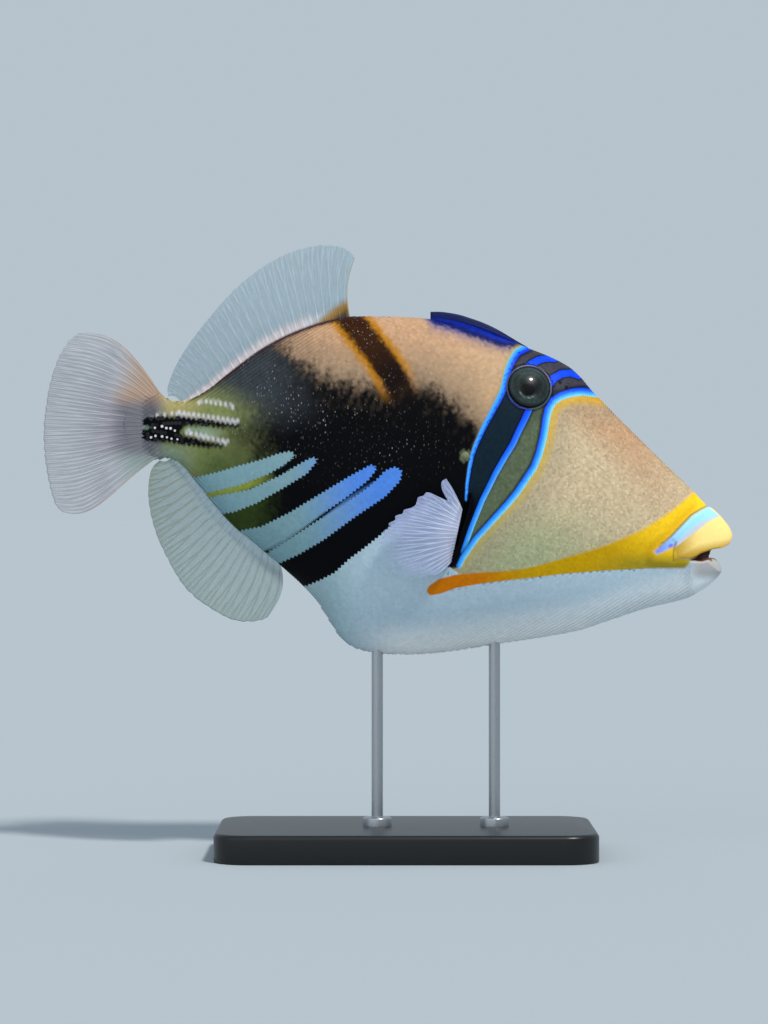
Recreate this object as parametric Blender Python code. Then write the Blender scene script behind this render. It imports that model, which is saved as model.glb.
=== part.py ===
# Picasso triggerfish, life size, as a still museum model on a two-rod stand.
# Metres, +Z up, head towards +X. The frame's origin is under the middle of the fish, on the floor.
# The fish is measured in millimetres, x forward from the tail fin's rear edge and z up from the
# lowest point of the belly, and place() turns those measures into the frame.

import math

import bmesh
import bpy
import numpy as np
from mathutils import Vector

MM = 0.001
GAP = 0.3  # between nodes that touch

# Driving sizes
TOTAL_LENGTH = 241.0
BELLY_HEIGHT = 70.0  # the lowest point of the belly above the floor
STALK_END = 40.3  # where the tail fin takes over from the flesh of the tail stalk
STALK_CUT = 70.5  # where the trunk ends and the tail stalk starts

# The back and the belly of the whole animal, without its fins, as x and z
BACK = (
    (40.3, 91.9), (42.7, 89.7), (45.5, 88.4), (49.0, 88.2), (53.2, 89.8), (58.5, 92.9), (63.7, 97.0),
    (70.0, 101.9), (76.7, 106.6), (83.0, 110.1), (90.0, 113.2), (97.0, 115.6), (104.0, 117.3),
    (109.0, 118.0), (125.0, 117.8), (134.8, 117.1), (142.5, 115.7), (149.5, 113.9), (156.5, 111.8),
    (163.5, 109.4), (170.5, 106.6), (177.5, 103.8), (184.0, 100.3), (188.0, 96.8), (191.5, 92.6),
    (195.0, 88.9), (212.5, 71.4), (228.5, 55.9), (232.4, 51.9), (235.2, 49.7), (238.7, 45.9),
    (240.1, 43.8), (241.0, 41.7),
)
BELLY = (
    (40.3, 68.3), (42.7, 68.8), (45.2, 68.4), (49.4, 65.3), (55.0, 58.5), (62.0, 49.8), (67.9, 43.8),
    (73.9, 38.9), (83.0, 31.2), (90.3, 24.9), (95.2, 19.6), (100.5, 11.4), (104.0, 6.3), (110.3, 1.9),
    (121.5, 0.2), (128.5, 0.0), (142.5, 1.1), (156.5, 3.3), (170.5, 5.4), (188.0, 8.6), (195.0, 10.9),
    (212.5, 16.6), (221.2, 18.6), (226.5, 20.4), (230.7, 23.4), (234.9, 26.6), (238.5, 31.0),
    (241.0, 37.0),
)
# Half the width of the body along it, and how its cross section is drawn there: the height of the
# widest place as a share of the depth, and how pinched the back and the belly are
HALF_WIDTH = (
    (40.3, 2.4), (45.5, 3.1), (55.0, 5.2), (70.0, 9.3), (83.0, 12.6), (97.0, 15.4), (115.0, 18.0),
    (135.0, 19.2), (150.0, 19.3), (165.0, 18.2), (180.0, 16.2), (195.0, 13.2), (212.5, 9.7),
    (225.0, 7.3), (232.0, 6.3), (236.0, 5.4), (239.0, 3.9), (240.4, 2.3), (241.0, 0.6),
)
WIDEST = ((40.0, 0.5), (90.0, 0.52), (140.0, 0.54), (175.0, 0.5), (215.0, 0.46), (241.0, 0.5))
BACK_PINCH = ((40.0, 0.95), (90.0, 1.05), (140.0, 1.0), (175.0, 0.95), (241.0, 0.85))
BELLY_PINCH = ((40.0, 0.95), (90.0, 1.3), (130.0, 1.4), (175.0, 1.25), (215.0, 1.0), (241.0, 0.85))
BODY_STATIONS = ((STALK_END, 60.0, 2.5), (60.0, 170.0, 4.4), (170.0, 233.5, 3.15))  # from, to, step
BODY_SIDES = 28

# The head is cut off along a slanting plane through these two points, just ahead of the pectoral fins
NAPE = (163.0, 109.6)
THROAT = (142.1, 29.4)

# The mouth: the crease behind the upper lip, the crease behind the lower lip, and the lip margins
UPPER_CREASE = (
    (232.4, 51.8), (229.3, 50.3), (226.5, 48.3), (224.2, 46.1), (222.3, 43.4), (220.8, 39.9),
    (219.9, 36.0), (219.8, 32.9), (226.1, 32.7),
)
LOWER_CREASE = ((226.3, 32.4), (227.6, 26.5), (228.6, 18.0))
UPPER_MARGIN = (
    (213.0, 33.4), (219.8, 33.2), (226.5, 33.6), (230.0, 35.4), (233.8, 36.6), (237.3, 37.3),
    (239.0, 38.0), (240.1, 38.9), (241.0, 41.7),
)
LOWER_MARGIN = (
    (223.0, 32.6), (226.5, 32.5), (230.0, 32.5), (232.8, 33.2), (234.2, 33.8), (235.6, 33.1),
    (236.6, 32.0), (237.3, 30.5),
)
CHIN = (
    (223.0, 19.2), (226.5, 20.4), (230.7, 23.4), (232.8, 25.0), (234.9, 26.6), (236.5, 28.2),
    (237.3, 30.5),
)
MUZZLE_TOP_FROM = 212.0
LIP_BULGE = 0.35
LIP_ROUNDING = ((220.0, 0.5), (227.0, 0.8), (234.0, 2.4))  # of the lip's edge, by x
LIP_TIP_ROUNDING = 3.2

# Eyes, nostrils, gill opening and the round bump above the pectoral fin
EYE_CENTRE = (169.6, 92.9)
EYE_SIZE = (7.4, 7.4, 4.6)  # along and up the flank, and out of it
EYE_SINKS = 1.6  # how far the middle of the eye lies under the skin
LID_RADIUS = 7.7
LID_WIDTH = 1.2
LID_THICKNESS = 1.1
NOSTRILS = ((180.2, 95.6), (182.4, 93.2))
NOSTRIL_RADIUS = 0.75
GILL_TOP = (148.0, 54.5)
GILL_FOOT = (143.9, 38.0)
GILL_SLIT = 0.9
GILL_BOW = 0.6
BUMP = (147.4, 69.0)
BUMP_SIZE = (1.9, 1.0, 2.3)

# Fins: rows of points along the free margin, and how many rays each has
DORSAL_RAYS = 24
DORSAL_FOOT = (107.6, 49.0)  # x of the first ray and of the last
DORSAL_MARGIN = (
    (109.2, 139.0), (107.4, 141.2), (104.4, 142.7), (98.4, 143.4), (90.5, 142.1), (82.6, 139.0),
    (74.7, 134.1), (66.8, 127.4), (58.8, 118.3), (50.9, 108.0), (46.4, 100.4), (43.8, 93.6), (43.9, 90.2),
)
ANAL_RAYS = 22
ANAL_FOOT = (83.0, 47.6)
ANAL_MARGIN = (
    (78.8, 13.0), (75.8, 11.8), (70.4, 11.4), (65.1, 12.6), (58.8, 16.0), (52.9, 20.2), (48.0, 25.6),
    (43.9, 32.6), (39.9, 40.8), (37.8, 47.7), (36.7, 54.6), (37.2, 61.0), (39.2, 64.9),
)
TAIL_RAYS = 24  # twelve, each forked
TAIL_MARGIN = (
    (12.3, 112.4), (9.2, 109.9), (6.3, 105.5), (4.3, 101.2), (2.7, 96.1), (1.4, 90.3), (0.4, 83.3),
    (0.0, 76.3), (0.4, 69.5), (1.4, 62.7), (2.7, 56.7), (4.3, 52.2), (6.5, 49.7),
)
TAIL_FLESH = 0.3  # the share of the tail fin over which the flesh of the stalk thins out
PECTORAL_RAYS = 14
PECTORAL_FOOT = ((145.9, 50.4), (142.6, 32.6))
PECTORAL_MARGIN = (
    (139.7, 60.8), (133.0, 60.6), (126.0, 57.8), (120.6, 52.0), (117.2, 44.0), (117.4, 35.0),
    (121.6, 29.2), (128.6, 26.6), (136.2, 27.4),
)
PECTORAL_SPREAD = math.radians(21.0)  # how far each pectoral fin stands off the flank
PECTORAL_CURVE = 0.008
PECTORAL_ROOT = 0.7
MEMBRANE = 0.27  # half the thickness of a fin between its rays
RAY_AT_FOOT = 0.62  # half the thickness over a ray, at its foot and at its tip
RAY_AT_TIP = 0.36
FOOT_MUSCLE = 0.75  # added to half the thickness along a fin's foot
FOOT_MUSCLE_REACH = 0.14
HOLLOW = 0.985  # how far the membrane reaches between two rays
FIN_WAVE = 2.6  # how far the dorsal and anal fins' margins swing to the side
TAIL_WAVE = 1.6
WAVES = 0.85  # along one margin

# The first dorsal fin, folded down along the back: its crest, and its three spines from foot to tip
CREST = (
    (169.6, 107.4), (167.0, 108.9), (163.5, 111.0), (160.0, 113.1), (156.5, 114.9), (153.0, 116.4),
    (149.5, 117.6), (146.0, 118.7), (142.5, 119.4), (139.0, 119.8), (135.6, 119.8),
)
CREST_THICKNESS = 1.05
FOLDED_SPINES = (
    ((166.6, 108.6), (137.2, 119.2), 1.5, 0.7),
    ((158.6, 112.4), (137.0, 118.1), 1.15, 0.5),
    ((149.0, 115.6), (136.8, 117.7), 0.9, 0.45),
)
SPINE_ARCH = 0.9

# Rows of small forward-pointing spines on the tail stalk: from, to, how many
SPINE_ROWS = (
    ((42.4, 80.6), (67.6, 79.4), 11),
    ((42.6, 76.6), (63.6, 72.7), 10),
    ((55.4, 87.5), (67.2, 86.0), 5),
)
SPINE_HEIGHT = 1.2
SPINE_RADIUS = 0.7
SPINE_TIP = 0.15
SPINE_ROOT = 0.9  # how deep a spine is rooted
SCUTE_PLACES = (106.2, 108.3, 110.6, 113.0)  # knobs over the rudder bone of the pelvis
SCUTE_SIZE = (1.25, 1.9, 0.95)

# Stand
BASE_SIZE = (132.0, 78.0, 10.0)
BASE_CENTRE = 127.0
BASE_CORNER = 12.0
BASE_EDGE = 1.6
ROD_PLACES = (("stand_rod_rear", 117.0), ("stand_rod_front", 158.0))
ROD_RADIUS = 2.0
ROD_SINKS = 7.0  # how far a rod reaches up inside the belly
COLLAR_RADIUS = 5.0
COLLAR_HEIGHT = 3.0
COLLAR_EDGE = 0.6


# Shapes worked out from the sizes

def place(x, y, z):
    """A measure on the fish as a point of the frame, in metres."""
    return ((x - TOTAL_LENGTH / 2) * MM, y * MM, (z + BELLY_HEIGHT) * MM)


def profile(points):
    """A smooth function through points whose x rises, which never overshoots them."""
    xs, ys = np.array(points, float).T
    step, rise = np.diff(xs), np.diff(ys)
    slope = rise / step
    lean = np.zeros(len(xs))
    lean[0], lean[-1] = slope[0], slope[-1]
    same = slope[:-1] * slope[1:] > 0
    left, right = 2 * step[1:] + step[:-1], step[1:] + 2 * step[:-1]
    with np.errstate(divide="ignore", invalid="ignore"):
        mean = (left + right) / (left / slope[:-1] + right / slope[1:])
    lean[1:-1] = np.where(same, mean, 0.0)

    def value(x):
        x = np.clip(np.asarray(x, float), xs[0], xs[-1])
        i = np.clip(np.searchsorted(xs, x) - 1, 0, len(xs) - 2)
        t = (x - xs[i]) / step[i]
        return (
            ys[i] * (1 + 2 * t) * (1 - t) ** 2
            + lean[i] * step[i] * t * (1 - t) ** 2
            + ys[i + 1] * t * t * (3 - 2 * t)
            + lean[i + 1] * step[i] * t * t * (t - 1)
        )

    return value


def margin(points):
    """A smooth curve through points, as a function of the share of its length from 0 to 1."""
    p = np.array(points, float)
    padded = np.vstack([2 * p[0] - p[1], p, 2 * p[-1] - p[-2]])
    t = np.linspace(0, 1, 12, endpoint=False)[:, None]
    runs = []
    for a, b, c, d in zip(padded, padded[1:], padded[2:], padded[3:]):
        bend = (2 * a - 5 * b + 4 * c - d) * t**2 + (3 * b - a - 3 * c + d) * t**3
        runs.append(0.5 * (2 * b + (c - a) * t + bend))
    line = np.vstack([*runs, p[-1:]])
    along = np.concatenate([[0], np.cumsum(np.linalg.norm(np.diff(line, axis=0), axis=1))])
    along /= along[-1]
    return lambda u: np.array([np.interp(u, along, line[:, k]) for k in range(line.shape[1])])


back, belly, half_width = profile(BACK), profile(BELLY), profile(HALF_WIDTH)
widest, back_pinch, belly_pinch = profile(WIDEST), profile(BACK_PINCH), profile(BELLY_PINCH)


def flank(x, z):
    """Half the width of the body at a place on its side."""
    top, foot = float(back(x)), float(belly(x))
    middle = foot + (top - foot) * float(widest(x))
    if z >= middle:
        rise, pinch = (z - middle) / (top - middle), float(back_pinch(x))
    else:
        rise, pinch = (middle - z) / (middle - foot), float(belly_pinch(x))
    return float(half_width(x)) * math.sqrt(max(0.0, 1 - min(1.0, rise) ** 2)) ** pinch


def cross_section(x, count):
    """The outline of the body at x, as count points round from the back."""
    top, foot = float(back(x)), float(belly(x))
    middle = foot + (top - foot) * float(widest(x))
    ring = []
    for k in range(count):
        turn = 2 * math.pi * k / count
        up = math.cos(turn)
        z = middle + (top - middle if up > 0 else middle - foot) * up
        ring.append((x, math.copysign(flank(x, z), math.sin(turn)) if k % (count // 2) else 0.0, z))
    return ring


# Making objects

def make_object(name, points, faces, measured=True):
    """An object from points, given as measures on the fish or else in metres."""
    mesh = bpy.data.meshes.new(name)
    mesh.from_pydata([place(*p) for p in points] if measured else points, [], faces)
    tidy = bmesh.new()
    tidy.from_mesh(mesh)
    bmesh.ops.remove_doubles(tidy, verts=tidy.verts, dist=1e-6)
    bmesh.ops.recalc_face_normals(tidy, faces=tidy.faces)
    if tidy.calc_volume(signed=True) < 0:
        bmesh.ops.reverse_faces(tidy, faces=tidy.faces)
    tidy.to_mesh(mesh)
    tidy.free()
    made = bpy.data.objects.new(name, mesh)
    bpy.context.scene.collection.objects.link(made)
    return made


def loft(name, rings, measured=True):
    """A closed solid over rings with equal counts of points, its ends filled."""
    count = len(rings[0])
    points = [p for ring in rings for p in ring]
    faces = []
    for i in range(len(rings) - 1):
        for k in range(count):
            a, b = i * count + k, i * count + (k + 1) % count
            faces.append((a, b, b + count, a + count))
    faces.append(tuple(range(count)))
    faces.append(tuple(range(len(points) - count, len(points))))
    return make_object(name, points, faces, measured)


def prism(name, outline, half_depth):
    """A flat shape in x and z, given a thickness across the fish."""
    return loft(name, [[(x, y, z) for x, z in outline] for y in (-half_depth, half_depth)])


def keep_largest(node):
    """Drops every closed surface of a node but its largest."""
    mesh = bmesh.new()
    mesh.from_mesh(node.data)
    left, groups = set(mesh.faces), []
    while left:
        queue = [left.pop()]
        group = set(queue)
        while queue:
            face = queue.pop()
            near = {f for e in face.edges for f in e.link_faces} & left
            left -= near
            group |= near
            queue.extend(near)
        groups.append(group)
    groups.sort(key=lambda g: sum(f.calc_area() for f in g))
    for group in groups[:-1]:
        bmesh.ops.delete(mesh, geom=list(group), context="FACES")
    mesh.to_mesh(node.data)
    mesh.free()


def triangulate(item):
    mesh = bmesh.new()
    mesh.from_mesh(item.data)
    bmesh.ops.triangulate(mesh, faces=mesh.faces)
    mesh.to_mesh(item.data)
    mesh.free()


def combine(node, pieces, operation):
    """Joins pieces to a node, or cuts them from it, and removes them."""
    for item in (node, *pieces):
        triangulate(item)
    group = bpy.data.collections.new("pieces")
    bpy.context.scene.collection.children.link(group)
    for piece in pieces:
        bpy.context.scene.collection.objects.unlink(piece)
        group.objects.link(piece)
    change = node.modifiers.new(operation.lower(), "BOOLEAN")
    change.operand_type = "COLLECTION"
    change.collection = group
    change.operation = operation
    change.solver = "EXACT"
    graph = bpy.context.evaluated_depsgraph_get()
    node.data = bpy.data.meshes.new_from_object(node.evaluated_get(graph))
    node.modifiers.clear()
    for piece in list(group.objects):
        bpy.data.objects.remove(piece)
    bpy.data.collections.remove(group)
    keep_largest(node)


def cut_plane(node, point, normal):
    """Keeps what lies behind a plane, and closes the cut."""
    mesh = bmesh.new()
    mesh.from_mesh(node.data)
    everything = mesh.verts[:] + mesh.edges[:] + mesh.faces[:]
    bmesh.ops.bisect_plane(
        mesh, geom=everything, plane_co=Vector(place(*point)), plane_no=Vector(normal),
        clear_outer=True, dist=1e-7,
    )
    rim = [e for e in mesh.edges if e.is_boundary]
    bmesh.ops.triangle_fill(mesh, use_beauty=True, use_dissolve=False, edges=rim)
    bmesh.ops.recalc_face_normals(mesh, faces=mesh.faces)
    mesh.to_mesh(node.data)
    mesh.free()


def copy_of(node, name):
    copy = bpy.data.objects.new(name, node.data.copy())
    bpy.context.scene.collection.objects.link(copy)
    return copy


def ball(centre, radii, turn=None, segments=16, rings=8):
    """A squashed ball at a place on the fish, turned by a matrix."""
    shape = bmesh.new()
    bmesh.ops.create_uvsphere(shape, u_segments=segments, v_segments=rings, radius=MM)
    bmesh.ops.scale(shape, vec=radii, verts=shape.verts)
    if turn is not None:
        bmesh.ops.rotate(shape, cent=(0, 0, 0), matrix=turn, verts=shape.verts)
    bmesh.ops.translate(shape, vec=place(*centre), verts=shape.verts)
    mesh = bpy.data.meshes.new("ball")
    shape.to_mesh(mesh)
    shape.free()
    made = bpy.data.objects.new("ball", mesh)
    bpy.context.scene.collection.objects.link(made)
    return made


def tube(path, radii, sides):
    """A round bar along a path with a radius at each point, its ends closed."""
    path = [Vector(p) for p in path]
    rings = []
    for i, point in enumerate(path):
        along = (path[min(i + 1, len(path) - 1)] - path[max(i - 1, 0)]).normalized()
        side = along.cross(Vector((0.13, 0.97, 0.2))).normalized()
        up = along.cross(side)
        rings.append([
            tuple(point + float(radii[i]) * (side * math.cos(a) + up * math.sin(a)))
            for a in (2 * math.pi * k / sides for k in range(sides))
        ])
    return loft("tube", rings)


def ray_fin(name, foot, tip, rays, rows, middle, half, bow):
    """A fin whose rays run from foot(u) to tip(u) and stand up as ridges between hollows of membrane.

    middle gives how far the fin's own sheet lies to one side, half its half thickness, and bow how
    far a ray is bent off the straight line, all at u along the foot and v along the ray.
    """
    columns = 2 * rays + 1
    points = []
    for side in (1, -1):
        for j in range(columns):
            u = j / (columns - 1)
            on_ray = j % 2 == 1
            reach = 1.0 if on_ray or j in (0, columns - 1) else HOLLOW
            for i in range(rows + 1):
                v = i / rows
                a, b = foot(u), tip(u)
                x, z = a + (b - a) * v * (reach if i == rows else 1.0) + np.array(bow(u, v))
                points.append((x, middle(u, v, x, z) + side * half(u, v, on_ray), z))
    sheet = columns * (rows + 1)
    faces = []
    for j in range(columns - 1):
        for i in range(rows):
            a = j * (rows + 1) + i
            b, c, d = a + 1, a + rows + 2, a + rows + 1
            for p, q, r in ((a, b, c), (a, c, d)):
                faces += [(p, q, r), (p + sheet, r + sheet, q + sheet)]
    rim = [j * (rows + 1) for j in range(columns)]
    rim += [(columns - 1) * (rows + 1) + i for i in range(1, rows + 1)]
    rim += [j * (rows + 1) + rows for j in range(columns - 2, -1, -1)]
    rim += [i for i in range(rows - 1, 0, -1)]
    for p, q in zip(rim, rim[1:] + rim[:1]):
        faces += [(p, q, q + sheet), (p, q + sheet, p + sheet)]
    return make_object(name, points, faces)


def ridge(v, on_ray):
    """Half the thickness of a fin at a share v of a ray's length."""
    return (RAY_AT_FOOT + (RAY_AT_TIP - RAY_AT_FOOT) * v) if on_ray else MEMBRANE


def with_muscle(u, v, on_ray):
    """Half the thickness of a fin that is fleshy along its foot."""
    return ridge(v, on_ray) + FOOT_MUSCLE * max(0.0, 1 - v / FOOT_MUSCLE_REACH)


# The body and what is cut from it

def whole_body():
    stations = [x for start, end, step in BODY_STATIONS for x in np.arange(start, end, step)]
    return loft("body", [cross_section(float(x), BODY_SIDES) for x in stations])


def part_body():
    """The whole body, parted into tail stalk, trunk and head by thin cuts."""
    body = whole_body()
    slope = Vector((NAPE[1] - THROAT[1], 0, -(NAPE[0] - THROAT[0]))).normalized()
    head, trunk, stalk = copy_of(body, "head"), copy_of(body, "trunk"), body
    stalk.name = "tail_stalk"
    shift = slope * GAP / 2
    cut_plane(head, (NAPE[0] + shift.x, 0, NAPE[1] + shift.z), -slope)
    cut_plane(trunk, (NAPE[0] - shift.x, 0, NAPE[1] - shift.z), slope)
    cut_plane(trunk, (STALK_CUT + GAP / 2, 0, 0), (-1, 0, 0))
    cut_plane(stalk, (STALK_CUT - GAP / 2, 0, 0), (1, 0, 0))
    return head, trunk, stalk


def eye_turn(side):
    """Turns a shape that faces up so that it faces straight out of the skin at the eye."""
    x, z = EYE_CENTRE
    along = (flank(x + 1, z) - flank(x - 1, z)) / 2
    up = (flank(x, z + 1) - flank(x, z - 1)) / 2
    out = Vector((-along, side, -up)).normalized()
    return Vector((0, 0, 1)).rotation_difference(out).to_matrix()


def on_eye(side, x, y, rise):
    """A place over the eye, by its distance off the eye's axis and its rise above the skin."""
    centre = Vector((EYE_CENTRE[0], side * flank(*EYE_CENTRE), EYE_CENTRE[1]))
    return centre + eye_turn(side) @ Vector((x, y, rise))


def lid(side):
    """The fleshy ring round an eye."""
    count, section = 24, 6
    points, faces = [], []
    for k in range(count):
        a = 2 * math.pi * k / count
        for s in range(section):
            b = 2 * math.pi * s / section
            r = LID_RADIUS + LID_WIDTH * math.cos(b)
            points.append(tuple(on_eye(side, r * math.cos(a), r * math.sin(a), LID_THICKNESS * math.sin(b))))
            here, after = k * section, (k + 1) % count * section
            faces.append((here + s, here + (s + 1) % section, after + (s + 1) % section, after + s))
    return make_object("lid", points, faces)


def eyeball(side, grow):
    radii = [size + grow for size in EYE_SIZE]
    return ball(on_eye(side, 0, 0, -EYE_SINKS), radii, eye_turn(side), 24, 12)


def make_eye(name, side):
    eyeball(side, 0).name = name


def gill_cutter(side):
    """The short slit of the gill opening, ahead of a pectoral fin."""
    path, radii = [], []
    for t in np.linspace(0, 1, 6):
        x, z = (1 - t) * np.array(GILL_TOP) + t * np.array(GILL_FOOT)
        x -= GILL_BOW * math.sin(math.pi * t)
        path.append((x, side * (flank(x, z) - 0.2), z))
        radii.append(GILL_SLIT * (0.45 + 0.55 * math.sin(math.pi * t)))
    return tube(path, radii, 6)


def bore_for_rod(node, x):
    """A blind hole up into the underside, in which a rod of the stand ends."""
    foot = float(belly(x))
    ends = [(x, 0, foot - ROD_SINKS), (x, 0, foot + ROD_SINKS + GAP)]
    combine(node, [tube(ends, (ROD_RADIUS + GAP,) * 2, 16)], "DIFFERENCE")


def grown(outline, distance):
    """An outline moved outwards by a distance, or inwards where that is negative."""
    p = np.array(outline, float)
    turn = np.sum(p[:, 0] * np.roll(p[:, 1], -1) - np.roll(p[:, 0], -1) * p[:, 1])
    edge = np.roll(p, -1, 0) - p
    edge /= np.linalg.norm(edge, axis=1)[:, None]
    out = np.stack([edge[:, 1], -edge[:, 0]], 1) * math.copysign(1, turn)
    before = np.roll(out, 1, 0)
    corner = (out + before) / (1 + np.sum(out * before, axis=1))[:, None]
    return [tuple(q) for q in p + corner * distance]


def mouth_outlines():
    """Three flat shapes: all that is ahead of the creases, the upper lip's share and the lower lip's."""
    over, under = (260.0, 70.0), (260.0, 8.0)
    above = (238.0, 62.0)
    below = (228.6, 8.0)
    corner_above, corner_below = (226.1, 33.1), (226.4, 33.0)
    split_above, split_below = (260.0, 33.1), (260.0, 34.5)
    whole = [above, *UPPER_CREASE, *LOWER_CREASE, below, under, over]
    upper = [above, *UPPER_CREASE[:-1], corner_above, split_above, over]
    lower = [*LOWER_CREASE, below, under, split_below, (240.0, 34.5), corner_below]
    return whole, upper, lower


def lip(name, low, high, rolls_down, outline):
    """A lip as full as the muzzle, rolled over at the mouth, and cut off at its crease."""
    start, end = max(low[0][0], high[0][0]), low[-1][0]
    foot, top, rounding = profile(low), profile(high), profile(LIP_ROUNDING)
    count, rings = 11, []
    for x in start + (end - start) * np.sin(np.linspace(0.0, math.pi / 2, 13))[:-1]:
        a, b = float(foot(x)), float(top(x))
        close = min(1.0, (end - x) / LIP_TIP_ROUNDING)
        side = []
        for k in range(count + 1):
            z = a + (b - a) * (1 - math.cos(math.pi * k / count)) / 2
            away = (z - a) if rolls_down else (b - z)
            roll = min(1.0, away / min(float(rounding(x)), (b - a) / 2))
            full = math.sqrt(1 - (1 - roll) ** 2) * math.sqrt(1 - (1 - close) ** 2)
            side.append((float(x), (flank(x, z) + LIP_BULGE) * full if 0 < k < count else 0.0, z))
        rings.append(side + [(x, -y, z) for x, y, z in side[-2:0:-1]])
    made = loft(name, rings + [[(end, 0.0, low[-1][1])] * len(rings[0])])
    combine(made, [prism("share", grown(outline, -GAP), 20.0)], "INTERSECT")


def finish_head(head, mouth):
    combine(head, [lid(1), lid(-1)], "UNION")
    cutters = [prism("mouth", mouth, 20.0)]
    for side in (1, -1):
        cutters.append(eyeball(side, GAP))
        for x, z in NOSTRILS:
            cutters.append(ball((x, side * flank(x, z), z), (NOSTRIL_RADIUS,) * 3, None, 8, 6))
        cutters.append(gill_cutter(side))
    for cutter in cutters:
        combine(head, [cutter], "DIFFERENCE")


def finish_trunk(trunk):
    x, z = BUMP
    knobs = [ball((x, side * (flank(x, z) - 0.5), z), BUMP_SIZE, None, 10, 6) for side in (1, -1)]
    for x in SCUTE_PLACES:
        knobs.append(ball((x, 0.0, float(belly(x)) + 0.35), SCUTE_SIZE, None, 10, 6))
    combine(trunk, knobs, "UNION")
    for side in (1, -1):
        combine(trunk, [gill_cutter(side)], "DIFFERENCE")


def small_spine(x, z, side, size):
    """A spine on the tail stalk with its root in the flesh and its tip leaning forward."""
    y = flank(x, z)
    root = (x - 0.5 * size, side * (y - SPINE_ROOT), z)
    tip = (x + 0.8 * size, side * (y + SPINE_HEIGHT * size), z + 0.1)
    return tube([root, tip], (1.4 * SPINE_RADIUS * size, SPINE_TIP), 4)


def finish_stalk(stalk):
    spines = []
    for start, end, count in SPINE_ROWS:
        for k in range(count):
            t = k / (count - 1)
            x, z = (1 - t) * np.array(start) + t * np.array(end)
            size = 0.8 + 0.3 * math.sin(math.pi * (0.15 + 0.7 * t)) + 0.06 * (-1) ** k
            spines += [small_spine(float(x), float(z), side, size) for side in (1, -1)]
    combine(stalk, spines, "UNION")


# Fins

def make_dorsal_fin():
    start, end = DORSAL_FOOT

    def foot(u):
        x = start + (end - start) * u
        return np.array((x, float(back(x)) + GAP))

    def middle(u, v, x, z):
        return FIN_WAVE * v**1.4 * math.sin(2 * math.pi * (WAVES * u + 0.08))

    def bow(u, v):
        return (-1.8 * math.sin(math.pi * v) * (1 - u) ** 4, 1.2 * math.sin(math.pi * v) * u)

    ray_fin("dorsal_fin", foot, margin(DORSAL_MARGIN), DORSAL_RAYS, 5, middle, with_muscle, bow)


def make_anal_fin():
    start, end = ANAL_FOOT

    def foot(u):
        x = start + (end - start) * u
        return np.array((x, float(belly(x)) - GAP))

    def middle(u, v, x, z):
        return -FIN_WAVE * v**1.4 * math.sin(2 * math.pi * (WAVES * u + 0.12))

    def bow(u, v):
        return (2.8 * math.sin(math.pi * v) * (1 - u) ** 3, -1.0 * math.sin(math.pi * v) * u)

    ray_fin("anal_fin", foot, margin(ANAL_MARGIN), ANAL_RAYS, 5, middle, with_muscle, bow)


def make_tail_fin():
    top, low = float(back(STALK_END)), float(belly(STALK_END))

    def foot(u):
        return np.array((STALK_END - GAP, top + (low - top) * u))

    def middle(u, v, x, z):
        return TAIL_WAVE * v**2 * math.sin(math.pi * (u - 0.15))

    def half(u, v, on_ray):
        flesh = max(0.0, 1 - v / TAIL_FLESH) ** 1.5
        return max(ridge(v, on_ray), flank(STALK_END, top + (low - top) * u) * flesh + MEMBRANE)

    def bow(u, v):
        up = 7.2 * max(0.0, 1 - 2 * u) ** 1.6 * math.sin(math.pi * v)
        down = 5.1 * max(0.0, 2 * u - 1) ** 1.6 * math.sin(math.pi * v**1.8)
        return (0.0, up - down)

    ray_fin("tail_fin", foot, margin(TAIL_MARGIN), TAIL_RAYS, 6, middle, half, bow)


def make_pectoral_fin(name, side):
    first, last = np.array(PECTORAL_FOOT)

    def foot(u):
        return first + (last - first) * u

    def middle(u, v, x, z):
        a = foot(u)
        away = math.hypot(x - a[0], z - a[1])
        root = max(flank(float(a[0]), float(a[1])), flank(x, z)) + GAP + PECTORAL_ROOT
        return side * (root + away * math.tan(PECTORAL_SPREAD) - PECTORAL_CURVE * away**2)

    def half(u, v, on_ray):
        return 0.85 * ridge(v, on_ray) + 0.25 * max(0.0, 1 - 5 * v)

    def bow(u, v):
        return (0.0, 0.8 * math.sin(math.pi * v) * (1 - 2 * u))

    ray_fin(name, foot, margin(PECTORAL_MARGIN), PECTORAL_RAYS, 5, middle, half, bow)


def make_first_dorsal_fin():
    crest = margin(CREST)
    count, rings = 16, []
    for k in range(count + 1):
        x, z = crest(k / count)
        foot = min(float(back(x)) + GAP, z - 0.1)
        thick = CREST_THICKNESS * min(1.0, 0.35 + 6 * k / count)
        rings.append([(x, -thick, foot), (x, thick, foot), (x, 0.5 * thick, z), (x, -0.5 * thick, z)])
    fin = loft("first_dorsal_fin", rings)
    spines = []
    for start, end, thick, thin in FOLDED_SPINES:
        path, radii = [], []
        for t in np.linspace(0, 1, 6):
            x = start[0] + (end[0] - start[0]) * t
            z = start[1] + (end[1] - start[1]) * t + SPINE_ARCH * math.sin(math.pi * t)
            radii.append(thick + (thin - thick) * t)
            path.append((x, 0.0, max(z, float(back(x)) + 1.5 * GAP + radii[-1])))
        spines.append(tube(path, radii, 8))
    combine(fin, spines, "UNION")


# Stand

def rounded_rectangle(length, width, corner, centre, level):
    """A rectangle with round corners at one level, in metres."""
    ring = []
    for along, across, start in ((1, 1, 0), (-1, 1, 90), (-1, -1, 180), (1, -1, 270)):
        for step in range(7):
            a = math.radians(start + 15 * step)
            x = centre + along * (length / 2 - corner) + corner * math.cos(a)
            ring.append((x * MM, (across * (width / 2 - corner) + corner * math.sin(a)) * MM, level * MM))
    return ring


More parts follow.
